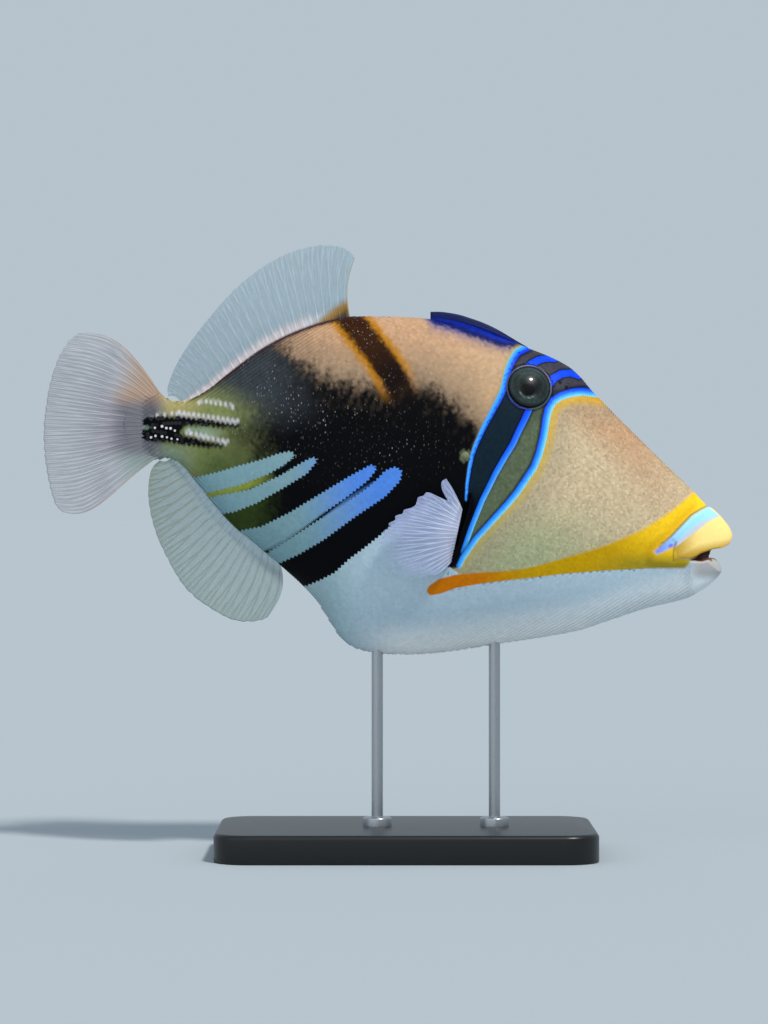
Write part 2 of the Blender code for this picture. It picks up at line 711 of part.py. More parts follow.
def make_stand():
    length, width, height = BASE_SIZE
    rings = []
    for inset, level in ((0, 0), (0, height - BASE_EDGE), (0.3, height - 0.3 * BASE_EDGE), (1, height)):
        less = 2 * inset * BASE_EDGE
        corner = BASE_CORNER - inset * BASE_EDGE
        centre = BASE_CENTRE - TOTAL_LENGTH / 2
        rings.append(rounded_rectangle(length - less, width - less, corner, centre, level))
    loft("stand_base", rings, measured=False)
    for name, x in ROD_PLACES:
        floor = height - BELLY_HEIGHT + GAP
        collar = floor + COLLAR_HEIGHT
        turned = (
            (COLLAR_RADIUS, floor), (COLLAR_RADIUS, collar - COLLAR_EDGE),
            (COLLAR_RADIUS - COLLAR_EDGE, collar), (ROD_RADIUS, collar),
            (ROD_RADIUS, float(belly(x)) + ROD_SINKS),
        )
        rings = []
        for radius, level in turned:
            turns = (2 * math.pi * k / 20 for k in range(20))
            rings.append([(x + radius * math.cos(a), radius * math.sin(a), level) for a in turns])
        loft(name, rings)


# Materials: colour, roughness and metallic value of each node

FINISHES = {
    "head": ((0.62, 0.50, 0.32), 0.45, 0.0),
    "trunk": ((0.05, 0.05, 0.06), 0.45, 0.0),
    "tail_stalk": ((0.33, 0.33, 0.12), 0.45, 0.0),
    "upper_lip": ((0.95, 0.72, 0.22), 0.35, 0.0),
    "lower_lip": ((0.72, 0.72, 0.68), 0.35, 0.0),
    "eye_left": ((0.03, 0.04, 0.03), 0.1, 0.0),
    "eye_right": ((0.03, 0.04, 0.03), 0.1, 0.0),
    "first_dorsal_fin": ((0.02, 0.03, 0.30), 0.4, 0.0),
    "dorsal_fin": ((0.62, 0.68, 0.70), 0.4, 0.0),
    "anal_fin": ((0.62, 0.68, 0.70), 0.4, 0.0),
    "tail_fin": ((0.60, 0.62, 0.64), 0.4, 0.0),
    "pectoral_fin_left": ((0.75, 0.78, 0.85), 0.4, 0.0),
    "pectoral_fin_right": ((0.75, 0.78, 0.85), 0.4, 0.0),
    "stand_base": ((0.04, 0.04, 0.045), 0.5, 0.0),
    "stand_rod_rear": ((0.62, 0.62, 0.64), 0.3, 1.0),
    "stand_rod_front": ((0.62, 0.62, 0.64), 0.3, 1.0),
}


def paint(name, colour, roughness, metallic):
    node = bpy.data.objects[name]
    material = bpy.data.materials.new(name)
    material.use_nodes = True
    shader = material.node_tree.nodes["Principled BSDF"]
    shader.inputs["Base Color"].default_value = (*colour, 1.0)
    shader.inputs["Roughness"].default_value = roughness
    shader.inputs["Metallic"].default_value = metallic
    node.data.materials.clear()
    node.data.materials.append(material)
    node.data.shade_smooth()
    node.data.set_sharp_from_angle(angle=math.radians(40))


def main():
    for item in list(bpy.data.objects):
        bpy.data.objects.remove(item)
    head, trunk, stalk = part_body()
    mouth, upper, lower = mouth_outlines()
    finish_head(head, mouth)
    finish_trunk(trunk)
    finish_stalk(stalk)
    for node, (_, x) in zip((trunk, head), ROD_PLACES):
        bore_for_rod(node, x)
    muzzle_top = [p for p in BACK if p[0] > MUZZLE_TOP_FROM]
    lip("upper_lip", UPPER_MARGIN, muzzle_top, True, upper)
    lip("lower_lip", CHIN, LOWER_MARGIN, False, lower)
    make_eye("eye_left", 1)
    make_eye("eye_right", -1)
    make_first_dorsal_fin()
    make_dorsal_fin()
    make_anal_fin()
    make_tail_fin()
    make_pectoral_fin("pectoral_fin_left", 1)
    make_pectoral_fin("pectoral_fin_right", -1)
    make_stand()
    for name, finish in FINISHES.items():
        paint(name, *finish)


main()
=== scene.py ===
# Picasso triggerfish, life size, on its display stand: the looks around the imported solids.
# The scene is in metres. The fish's own tables are in millimetres on the fish, x forward from the tail
# fin's rear edge and z up from the belly's lowest point, and toFrame turns them into the scene.

import math

import bmesh
import bpy
import numpy as np
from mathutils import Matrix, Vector


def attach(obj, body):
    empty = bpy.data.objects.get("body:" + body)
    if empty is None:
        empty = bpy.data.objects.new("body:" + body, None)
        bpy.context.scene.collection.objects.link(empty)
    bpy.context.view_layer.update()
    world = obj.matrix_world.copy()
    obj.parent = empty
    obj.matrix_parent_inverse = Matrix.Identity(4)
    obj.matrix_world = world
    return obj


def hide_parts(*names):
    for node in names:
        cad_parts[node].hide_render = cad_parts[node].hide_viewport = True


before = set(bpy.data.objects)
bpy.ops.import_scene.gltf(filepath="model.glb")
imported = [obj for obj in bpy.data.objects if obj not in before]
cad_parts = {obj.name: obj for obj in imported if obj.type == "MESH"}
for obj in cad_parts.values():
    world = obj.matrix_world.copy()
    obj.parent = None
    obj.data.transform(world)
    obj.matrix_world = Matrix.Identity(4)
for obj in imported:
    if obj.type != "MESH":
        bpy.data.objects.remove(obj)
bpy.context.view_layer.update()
mm = 0.001
fishLength = 241.0
bellyHeight = 70.0  # the lowest point of the belly above the floor
fishPlace = np.array((-fishLength / 2, 0, bellyHeight))  # of the tables' zero point in the scene

print("frame loaded")

# The body's outline, as in the solids: back and belly, half width, and how the cross section is drawn.
# Behind the stalk's end (40.3) it runs on as thin scaled flesh, which sinks into the root of the tail
# fin, so that the rays grow out of it. The chin is a little rounder than in the solids.

body = {
    "back": (
        (28.0, 80.7), (28.8, 84.6), (30.6, 88.0), (33.6, 90.6), (37.0, 91.6), (40.3, 91.9),
        (42.7, 89.7), (45.5, 88.4), (49.0, 88.2), (53.2, 89.8), (58.5, 92.9), (63.7, 97.0),
        (70.0, 101.9), (76.7, 106.6), (83.0, 110.1), (90.0, 113.2), (97.0, 115.6), (104.0, 117.3),
        (109.0, 118.0), (125.0, 117.8), (134.8, 117.1), (142.5, 115.7), (149.5, 113.9), (156.5, 111.8),
        (163.5, 109.4), (170.5, 106.6), (177.5, 103.8), (184.0, 100.3), (188.0, 96.8), (191.5, 92.6),
        (195.0, 88.9), (212.5, 71.4), (228.5, 55.9), (232.4, 51.9), (235.2, 49.7), (238.7, 45.9),
        (240.1, 43.8), (241.0, 41.7),
    ),
    "belly": (
        (28.0, 80.1), (28.8, 76.0), (30.6, 72.4), (33.6, 69.6), (37.0, 68.6), (40.3, 68.3),
        (42.7, 68.8), (45.2, 68.4), (49.4, 65.3), (55.0, 58.5), (62.0, 49.8), (67.9, 43.8),
        (73.9, 38.9), (83.0, 31.2), (90.3, 24.9), (95.2, 19.6), (100.5, 11.4), (104.0, 6.3), (110.3, 1.9),
        (121.5, 0.2), (128.5, 0.0), (142.5, 1.1), (156.5, 3.3), (170.5, 5.4), (188.0, 8.6), (195.0, 10.9),
        (212.5, 16.6), (221.2, 18.6), (226.5, 20.2), (230.7, 22.5), (234.0, 24.9), (236.4, 27.4),
        (237.6, 29.8), (239.0, 33.0), (241.0, 37.0),
    ),
    "halfWidth": (
        (28.0, 0.05), (30.6, 0.12), (33.6, 0.35), (37.0, 1.2), (40.3, 2.3), (45.5, 3.1), (55.0, 5.2),
        (70.0, 9.3), (83.0, 12.6), (97.0, 15.4), (115.0, 18.0), (135.0, 19.2), (150.0, 19.3),
        (165.0, 18.2), (180.0, 16.2), (195.0, 13.2), (212.5, 9.7), (225.0, 7.3), (232.0, 6.3),
        (236.0, 5.4), (239.0, 3.9), (240.4, 2.3), (241.0, 0.6),
    ),
    "widest": ((40.0, 0.5), (90.0, 0.52), (140.0, 0.54), (175.0, 0.5), (215.0, 0.46), (241.0, 0.5)),
    "backPinch": ((40.0, 0.95), (90.0, 1.05), (140.0, 1.0), (175.0, 0.95), (241.0, 0.85)),
    "bellyPinch": ((40.0, 0.95), (90.0, 1.3), (130.0, 1.4), (175.0, 1.25), (215.0, 1.0), (241.0, 0.85)),
}


def profile(points):
    # a smooth function through points whose x rises, which never overshoots them
    xs, ys = np.array(points, float).T
    step, rise = np.diff(xs), np.diff(ys)
    slope = rise / step
    lean = np.zeros(len(xs))
    lean[0], lean[-1] = slope[0], slope[-1]
    same = slope[:-1] * slope[1:] > 0
    left, right = 2 * step[1:] + step[:-1], step[1:] + 2 * step[:-1]
    with np.errstate(divide="ignore", invalid="ignore"):
        mean = (left + right) / (left / slope[:-1] + right / slope[1:])
    lean[1:-1] = np.where(same, mean, 0.0)

    def value(x):
        x = np.clip(np.asarray(x, float), xs[0], xs[-1])
        i = np.clip(np.searchsorted(xs, x) - 1, 0, len(xs) - 2)
        t = (x - xs[i]) / step[i]
        return (
            ys[i] * (1 + 2 * t) * (1 - t) ** 2
            + lean[i] * step[i] * t * (1 - t) ** 2
            + ys[i + 1] * t * t * (3 - 2 * t)
            + lean[i + 1] * step[i] * t * t * (t - 1)
        )

    return value


def lengthsAlong(line):
    # how far along a line each of its points lies
    return np.concatenate([[0], np.cumsum(np.linalg.norm(np.diff(line, axis=0), axis=1))])


def curveThrough(points):
    # a smooth curve through points, as a function of the share of its length
    p = np.array(points, float)
    padded = np.vstack([2 * p[0] - p[1], p, 2 * p[-1] - p[-2]])
    t = np.linspace(0, 1, 12, endpoint=False)[:, None]
    runs = []
    for a, b, c, d in zip(padded, padded[1:], padded[2:], padded[3:]):
        bend = (2 * a - 5 * b + 4 * c - d) * t**2 + (3 * b - a - 3 * c + d) * t**3
        runs.append(0.5 * (2 * b + (c - a) * t + bend))
    line = np.vstack([*runs, p[-1:]])
    along = lengthsAlong(line)
    along /= along[-1]
    return lambda u: np.stack([np.interp(u, along, line[:, k]) for k in range(line.shape[1])], -1)


back, belly, halfWidth = profile(body["back"]), profile(body["belly"]), profile(body["halfWidth"])
widest, backPinch, bellyPinch = (profile(body[k]) for k in ("widest", "backPinch", "bellyPinch"))


def toFrame(points):
    return (np.asarray(points, float) + fishPlace) * mm


def toFish(points):
    return np.asarray(points, float) / mm - fishPlace


def sectionMiddle(x):
    return belly(x) + (back(x) - belly(x)) * widest(x)


def flank(x, z):
    # half the width of the body at places on its side
    top, foot, middle = back(x), belly(x), sectionMiddle(x)
    over = z >= middle
    rise = np.where(over, (z - middle) / (top - middle), (middle - z) / (middle - foot))
    pinch = np.where(over, backPinch(x), bellyPinch(x))
    return halfWidth(x) * np.sqrt(np.clip(1 - np.minimum(rise, 1) ** 2, 0, 1)) ** pinch


def skinAt(x, turn):
    # points of the body at x, turned round from the back (0) over the left side (pi / 2) to the belly
    middle = sectionMiddle(x)
    up = np.cos(turn)
    z = middle + np.where(up > 0, back(x) - middle, middle - belly(x)) * up
    pinch = np.where(up > 0, backPinch(x), bellyPinch(x))
    side = np.sin(turn)
    return np.stack([x + 0 * turn, halfWidth(x) * np.sign(side) * np.abs(side) ** pinch, z], -1)


def skinFrame(x, turn):
    # at points of the body: the way out of the skin and the way along it towards the head
    small = 1e-3
    along = skinAt(x + 0.05, turn) - skinAt(x - 0.05, turn)
    around = skinAt(x, turn + small) - skinAt(x, turn - small)
    out = np.cross(around, along)
    out /= np.linalg.norm(out, axis=-1)[..., None]
    along /= np.linalg.norm(along, axis=-1)[..., None]
    return out, along


def turnAt(x, z):
    # how far round the section at x a place in the side view lies
    middle = sectionMiddle(x)
    up = (z - middle) / np.where(z > middle, back(x) - middle, middle - belly(x))
    return np.arccos(np.clip(up, -1, 1))


def smooth(low, high, value):
    t = np.clip((value - low) / (high - low), 0, 1)
    return t * t * (3 - 2 * t)


def hump(value, width, power=2):
    # 1 where the value is 0, running out either way over the width
    return np.exp(-((value / width) ** power))


def distanceTo(place, x, z):
    return np.hypot(x - place[0], z - place[1])


def nearLine(line, x, z):
    # distance from an open line, its sign (+ to the left of its run) and the share of its length
    p = np.array(line, float)
    pieces = np.linalg.norm(np.diff(p, axis=0), axis=1)
    reached = np.concatenate([[0], np.cumsum(pieces)])
    best = np.full(np.shape(x), 1e9)
    sign, share = np.ones_like(best), np.zeros_like(best)
    for a, b, size, start in zip(p, p[1:], pieces, reached):
        ux, uz = (b - a) / size
        t = np.clip((x - a[0]) * ux + (z - a[1]) * uz, 0, size)
        dx, dz = x - a[0] - t * ux, z - a[1] - t * uz
        far = np.hypot(dx, dz)
        nearer = far < best
        best = np.where(nearer, far, best)
        sign = np.where(nearer, np.where(ux * (z - a[1]) - uz * (x - a[0]) >= 0, 1.0, -1.0), sign)
        share = np.where(nearer, (start + t) / reached[-1], share)
    return best, sign, share


def depthIn(outline, x, z):
    # how deep places lie inside a closed outline, negative outside it
    closed = [*outline, outline[0]]
    far, _, _ = nearLine(closed, x, z)
    inside = np.zeros(np.shape(x), bool)
    for (ax, az), (bx, bz) in zip(closed, closed[1:]):
        if az != bz:
            crosses = (az > z) != (bz > z)
            inside ^= crosses & (x < (bx - ax) * (z - az) / (bz - az) + ax)
    return np.where(inside, far, -far)


def softNoise(x, z, size, seed):
    # smooth random values from -1 to 1 with lumps of a given size in mm
    table = np.random.default_rng(seed).uniform(-1, 1, (64, 64))
    u, v = np.asarray(x) / size, np.asarray(z) / size
    i, j = np.floor(u).astype(int), np.floor(v).astype(int)
    s, t = smooth(0, 1, u - i), smooth(0, 1, v - j)
    a, b = table[i % 64, j % 64], table[(i + 1) % 64, j % 64]
    c, d = table[i % 64, (j + 1) % 64], table[(i + 1) % 64, (j + 1) % 64]
    return (a * (1 - s) + b * s) * (1 - t) + (c * (1 - s) + d * s) * t


def linear(hexColour):
    # an sRGB hex colour as linear red, green and blue
    parts = [int(hexColour[k:k + 2], 16) / 255 for k in (1, 3, 5)]
    return np.array([c / 12.92 if c <= 0.04045 else ((c + 0.055) / 1.055) ** 2.4 for c in parts])


def shade(hexColour):
    return (*linear(hexColour), 1.0)


def makePiece(name, points, faces, material=None, isSmooth=True):
    mesh = bpy.data.meshes.new(name)
    mesh.from_pydata(toFrame(points), [], faces)
    if material:
        mesh.materials.append(material)
    if isSmooth:
        mesh.shade_smooth()
    made = bpy.data.objects.new(name, mesh)
    bpy.context.scene.collection.objects.link(made)
    return made


def recalculate(piece):
    mesh = bmesh.new()
    mesh.from_mesh(piece.data)
    bmesh.ops.remove_doubles(mesh, verts=mesh.verts, dist=1e-7)
    bmesh.ops.recalc_face_normals(mesh, faces=mesh.faces)
    mesh.to_mesh(piece.data)
    mesh.free()


def loftFaces(rings, count, closedEnds=True):
    faces = []
    for i in range(rings - 1):
        for k in range(count):
            a, b = i * count + k, i * count + (k + 1) % count
            faces.append((a, b, b + count, a + count))
    if closedEnds:
        faces.append(tuple(range(count))[::-1])
        faces.append(tuple(range((rings - 1) * count, rings * count)))
    return faces


def vertexPlaces(piece):
    places = np.empty(len(piece.data.vertices) * 3)
    piece.data.vertices.foreach_get("co", places)
    return toFish(places.reshape(-1, 3))


def setPlaces(piece, points):
    piece.data.vertices.foreach_set("co", toFrame(points).ravel())
    piece.data.update()


def vertexNormals(piece):
    normals = np.empty(len(piece.data.vertices) * 3)
    piece.data.vertices.foreach_get("normal", normals)
    return normals.reshape(-1, 3)


def setAttribute(piece, name, values):
    kinds = {1: ("FLOAT", "value"), 3: ("FLOAT_VECTOR", "vector"), 4: ("FLOAT_COLOR", "color")}
    values = np.asarray(values, np.float32)
    kind, field = kinds[1 if values.ndim == 1 else values.shape[1]]
    old = piece.data.attributes.get(name)
    if old:
        piece.data.attributes.remove(old)
    made = piece.data.attributes.new(name, kind, "POINT")
    made.data.foreach_set(field, values.ravel())


def setColour(piece, name, colour):
    setAttribute(piece, name, np.column_stack([colour, np.ones(len(colour))]))


def keepResult(piece):
    # makes what the piece's modifiers give its own plain mesh
    graph = bpy.context.evaluated_depsgraph_get()
    piece.data = bpy.data.meshes.new_from_object(piece.evaluated_get(graph))
    piece.modifiers.clear()


# Markings, worked out anywhere on the flank from its place in x and z

marks = {
    # blue lines of the mask, each from top to foot, with its half width at the top and at the foot
    "rearLine": (
        (169.8, 107.4), (165.9, 105.3), (163.8, 102.2), (162.4, 98.7), (161.3, 94.5), (160.6, 91.7),
        (158.9, 88.2), (156.4, 83.6), (153.6, 78.4), (151.2, 73.1), (149.8, 69.3), (148.8, 64.4),
        (148.0, 59.1), (147.7, 53.9),
    ),
    "middleLine": (
        (169.8, 85.8), (168.0, 81.9), (165.9, 77.7), (163.8, 73.1), (161.0, 68.6), (157.8, 63.0),
        (155.4, 58.1), (153.3, 53.9), (151.2, 48.6), (149.4, 44.1), (148.0, 39.9), (146.6, 35.7),
    ),
    "frontLine": (
        (196.0, 90.9), (192.1, 91.3), (187.9, 91.5), (184.4, 91.0), (180.9, 89.9), (178.1, 88.2),
        (176.4, 85.4), (175.5, 81.9), (175.0, 78.4), (174.3, 74.9), (172.9, 69.6), (171.1, 65.1),
        (168.3, 60.9), (165.2, 56.3), (161.7, 52.1), (158.2, 48.3), (154.7, 44.4), (151.2, 40.6),
        (148.8, 37.1), (146.6, 33.9), (145.2, 30.8),
    ),
    "browUpper": ((169.2, 99.6), (171.0, 101.4), (173.4, 102.7), (176.0, 103.3), (179.0, 103.1)),
    "browLower": ((176.2, 93.6), (178.2, 96.1), (181.1, 97.8), (184.4, 98.2), (187.4, 97.2)),
    "gillBar": (
        (147.0, 56.5), (146.2, 49.7), (145.2, 45.1), (143.6, 39.9), (141.7, 34.6), (140.3, 32.4),
        (140.3, 31.0), (141.7, 30.4), (143.6, 31.6), (145.8, 35.2), (148.0, 40.4), (149.4, 45.0),
        (150.5, 50.0), (149.8, 56.5),
    ),
    "maskRim": ((200.0, 92.0), (200.0, 120.0), (172.0, 120.0)),
    "mouthBand": (
        (134.0, 21.8), (134.6, 23.9), (138.4, 26.6), (144.2, 28.0), (152.0, 28.7), (159.9, 29.2),
        (166.9, 29.9), (173.9, 31.5), (180.9, 33.6), (187.9, 35.7), (194.9, 37.8), (201.9, 40.6),
        (208.9, 43.6), (214.2, 46.8), (219.4, 50.2), (224.7, 54.4), (229.4, 58.4), (236.0, 56.0),
        (232.4, 51.7), (229.3, 50.2), (226.4, 48.4), (222.2, 44.4), (218.8, 40.9), (213.1, 36.0),
        (214.0, 34.6), (217.7, 36.2), (220.3, 37.6), (221.5, 33.6), (226.4, 33.0), (224.0, 30.2),
        (212.4, 30.1), (194.9, 29.3), (180.9, 28.2), (170.4, 26.9), (159.9, 25.8), (152.9, 24.9),
        (144.2, 23.4), (138.9, 21.4), (135.4, 20.8),
    ),
    "lipBand": (
        (232.6, 51.6), (229.3, 50.0), (226.4, 48.2), (222.2, 44.2), (218.8, 40.7), (213.4, 36.0),
        (214.2, 35.2), (217.7, 36.4), (220.9, 37.6), (224.6, 40.3), (228.8, 43.5), (232.4, 46.3),
        (236.8, 48.3),
    ),
    "crease": ((232.6, 51.9), (229.3, 50.3), (226.4, 48.6), (222.2, 44.4), (218.8, 40.9), (213.1, 36.0)),
    "lipCorner": ((220.9, 39.2), (220.2, 37.0), (219.9, 34.6), (220.1, 32.6)),
    # pale fingers on the rear flank, each drawn on past the belly's edge
    "fingers": (
        (
            (48.0, 60.4), (54.2, 61.9), (61.9, 63.7), (68.9, 65.8), (75.9, 67.6), (82.9, 70.0),
            (87.1, 70.8), (88.9, 69.3), (84.7, 65.9), (78.8, 62.6), (68.9, 58.9), (57.7, 56.4), (48.0, 55.0),
        ),
        (
            (48.0, 52.4), (58.4, 54.8), (72.4, 57.4), (82.9, 62.1), (91.7, 67.2), (94.8, 68.7),
            (96.6, 67.8), (92.8, 63.0), (84.7, 58.1), (75.2, 52.8), (67.2, 49.7), (62.6, 49.0), (56.0, 44.0),
        ),
        (
            (62.0, 40.6), (70.0, 43.4), (76.6, 44.6), (86.4, 49.4), (96.9, 55.7), (107.4, 62.0),
            (114.8, 66.0), (117.2, 64.9), (113.7, 60.4), (105.7, 54.2), (95.2, 47.2), (84.7, 40.2),
            (78.0, 36.4), (70.0, 30.0),
        ),
        (
            (72.0, 30.0), (80.0, 36.4), (84.7, 39.3), (95.2, 46.0), (105.7, 52.7), (113.7, 58.2),
            (117.6, 61.6), (119.7, 64.0), (123.2, 65.3), (125.6, 63.9), (125.0, 60.5), (119.7, 54.9),
            (109.2, 47.9), (98.7, 40.2), (89.9, 35.0), (82.9, 31.8), (76.0, 26.0),
        ),
    ),
    "bellyEdge": (
        (84.0, 18.0), (91.0, 23.4), (96.9, 25.9), (102.2, 28.7), (107.4, 33.5), (112.7, 37.4), (117.9, 41.6),
        (123.2, 46.2), (128.4, 50.4), (133.7, 52.8), (138.4, 53.4), (143.0, 52.0), (146.0, 49.0),
        (145.2, 45.1), (143.6, 39.9), (141.7, 34.6), (141.2, 31.4), (142.8, 30.2), (144.8, 28.8),
        (145.0, 26.6), (152.0, 26.9), (166.9, 28.4), (194.9, 31.4), (212.0, 32.0), (226.4, 32.6),
        (232.0, 33.2), (245.0, 33.0),
        (245.0, -10.0), (84.0, -10.0),
    ),
    "tanEdge": (
        (70.0, 114.0), (76.7, 110.9), (80.9, 107.5), (90.7, 100.6), (97.3, 96.4), (105.0, 93.8),
        (116.2, 92.6), (129.2, 92.7), (137.2, 90.6), (142.8, 86.6), (148.1, 82.5), (152.3, 76.5),
        (170.0, 60.0),
    ),
    "saddle": ((106.2, 118.5), (112.0, 111.2), (116.6, 105.2), (122.2, 97.1), (125.8, 90.5), (128.8, 84.0)),
    "blueBackEdge": (
        (128.0, 119.0), (135.5, 115.4), (142.5, 113.3), (149.5, 110.9), (156.5, 108.6), (161.7, 107.2),
        (168.0, 107.8),
    ),
    # rows of small spines on the tail stalk: two black ones and the white ones along them
    "rowUpper": ((36.6, 81.0), (42.4, 81.5), (48.4, 81.6), (54.4, 81.1), (60.4, 80.3), (68.3, 79.6)),
    "rowLower": ((36.2, 77.0), (42.4, 76.1), (47.2, 75.3), (51.4, 74.4), (57.4, 73.3), (62.8, 72.8)),
    "whiteUpper": ((46.8, 84.3), (54.0, 83.4), (61.0, 82.4), (68.8, 81.1)),
    "whiteLower": ((50.3, 77.7), (56.0, 76.0), (62.0, 74.7), (64.6, 74.0)),
    "rowHigh": ((54.6, 88.0), (58.0, 88.3), (62.0, 87.9), (67.4, 86.2)),
    "rowEdge": ((38.2, 83.1), (42.6, 83.8), (46.4, 84.1)),
    "whiteDots": (
        (39.4, 79.1), (41.9, 79.6), (43.4, 79.0), (44.9, 78.9), (46.4, 78.1), (38.0, 75.8), (39.6, 76.3),
        (41.9, 76.1), (43.6, 75.8), (45.2, 75.3), (47.3, 75.1),
    ),
    "rowGap": ((34.0, 80.2), (36.6, 80.0), (38.3, 79.3), (36.6, 78.5), (34.0, 78.3)),
    "rowField": ((47.0, 79.6), (58.0, 78.8), (67.0, 78.0), (62.0, 75.6), (52.0, 78.0)),
    "rowJoin": ((38.2, 80.5), (50.0, 80.3), (48.0, 76.5), (38.6, 77.5)),
    "stripes": (  # under a row: its tint, half width at either end, and how its width runs along it
        ("whiteUpper", "rowWhite", 0.5, 0.6, 1), ("whiteLower", "rowWhite", 0.5, 0.6, 1),
        ("rowHigh", "rowWhite", 0.4, 0.4, 1), ("rowEdge", "rowWhite", 0.3, 0.3, 1),
        ("rowUpper", "black", 1.75, 0.8, 1.7), ("rowLower", "black", 2.3, 0.65, 1.7),
    ),
    "fingerLine": ((50.0, 54.0), (68.0, 57.9), (80.0, 62.0)),
    "bandMiddle": ((134, 23.0), (160, 27.5), (195, 33.5), (215, 38.0), (236, 54.0)),
    "eye": (169.6, 92.9),
    "bump": (147.4, 69.0),
}
marks["upperLip"] = ((246.0, 54.0), (234.0, 53.5), *marks["crease"][:5], (220.0, 38.0))

tints = {
    "nape": "#C49B78", "foreTan": "#BE9C79", "saddleCore": "#341803", "saddleEdge": "#B87A1A",
    "black": "#010104", "greyFlank": "#3E444A", "olive": "#828A54", "oliveDark": "#3E5229",
    "stalkTop": "#A69A66", "stalkLow": "#8A9C86", "belly": "#B2C8D6", "bellyRear": "#A5C0C8",
    # the belly foot's tint is partly real pale countershading, partly painted bounce light
    "bellyFootPaleAndBounceLit": "#F8FCFC", "finger": "#7FA2AB", "fingerTip": "#4682E6", "lineOlive": "#8A943A",
    "bandOlive": "#33421A", "cheek": "#CFB997", "cheekBrow": "#C39C79", "cheekLow": "#A6AD86",
    "maskRear": "#0E222E", "maskFront": "#5C6850", "forehead": "#3E3D48", "lip": "#FFE08A",
    # the mouth's tints carry painted shade inside the mouth
    "lipCorner": "#C8A03C", "lowerLip": "#ADADAE", "chin": "#A9BCC8", "mouth": "#3A1C20",
    "mouthRed": "#70504E", "blueBack": "#0E2A9C", "blueHaze": "#4A5486", "navy": "#060A38",
    # the lid's tint is a painted highlight on the lid ring
    "bump": "#727A5C", "lid": "#74788C", "dorsalRim": "#3A2024", "rowWhite": "#D6D2D8",
    "rowBetween": "#8BA596", "rayRoot": "#6F6D75", "rayRootTop": "#AC8E78", "rayRootLow": "#8A9894",
    # the crease line's tint is painted shade in the crease over the lip
    "cheekShade": "#A5977C", "lidFoot": "#4450B8", "creaseLine": "#4E4238",
    "bandRear": "#CE7404", "bandMiddle": "#C49A08", "bandFront": "#FFCE24", "bandFoot": "#9C8A24",
    "lipBand": "#A2DEF2", "lipBandBlue": "#93C4FA", "lipBandViolet": "#7F92F2",
    "lipBandEnd": "#5050E4", "lipBandFoot": "#DDBFC6",
}


def lay(below, above, cover):
    # one colour over another: each is a name in tints, a hex colour or a colour for each place
    below, above = (linear(tints.get(c, c)) if isinstance(c, str) else c for c in (below, above))
    cover = np.clip(cover, 0, 1)[:, None]
    return below * (1 - cover) + above * cover


def tailTint(z):
    # where the stalk runs out into the tail fin: grey-brown, tan along the top and pale green below
    return lay(lay("rayRoot", "rayRootTop", smooth(85, 92, z)), "rayRootLow", smooth(73, 66, z))


def flankPaint(x, z, grain, streaks, specks):
    # a black flank under the tan back, which runs from the mask to behind the saddle
    rise = z - profile(marks["tanEdge"])(x) + 2.6 * streaks + 1.3 * grain + 2.4 * specks
    tan = lay("foreTan", "nape", smooth(96, 112, z))
    tan = lay(tan, "greyFlank", 0.4 * smooth(22, 0, rise) + 0.14 * smooth(0.3, 1, specks))
    fineStreaks = softNoise(x - 0.3 * z, 0.35 * z, 0.75, 14)
    faint = 0.16 * smooth(-12, -2, rise) * smooth(0.0, 0.8, fineStreaks)
    paint = lay("black", tan, np.maximum(smooth(-3.5, 6.5, rise + 1.6 * fineStreaks), faint))
    # grey upper flank, olive rear flank and tail stalk
    slope = x + 0.25 * (z - 80) + 3.2 * streaks + 1.5 * grain + 2.0 * specks
    grey = smooth(104, 80, slope) * smooth(75, 91, z + 2 * streaks) * smooth(2.5, -3.5, rise)
    paint = lay(paint, "greyFlank", grey * (0.8 + 0.2 * specks))
    rear = smooth(83, 62, x + 0.12 * (z - 78) + 4.0 * streaks + 2.0 * grain + 2.5 * specks)
    rear *= smooth(105, 92, z + 0.3 * x - 12) * (1 - 0.45 * smooth(84, 77, z) * smooth(58, 70, x))
    paint = lay(paint, "olive", rear * (0.94 + 0.06 * specks))
    paint = lay(paint, "oliveDark", rear * smooth(77, 66, z + 0.1 * x - 6) * smooth(50, 62, x) * 0.8)
    paint = lay(paint, "stalkTop", smooth(60, 48, x) * smooth(79, 88, z))
    return lay(paint, "stalkLow", smooth(56, 44, x) * smooth(75, 69, z))


def saddlePaint(paint, x, z, grain, specks):
    # a dark stripe with orange edges, which runs out into the black flank
    far, _, share = nearLine(marks["saddle"], x, z)
    width = 4.7 + 0.2 * share
    near = far + 0.35 * grain + 0.5 * specks
    paint = lay(paint, "saddleEdge", smooth(width + 2.8, width + 0.8, near) * smooth(0.9, 0.55, share))
    paint = lay(paint, "saddleCore", smooth(width + 0.6, width - 1.3, near) * smooth(1, 0.7, share))
    return lay(paint, "black", smooth(width + 0.1, width - 2.0, near) * smooth(0.25, 0.7, share) * 0.8)


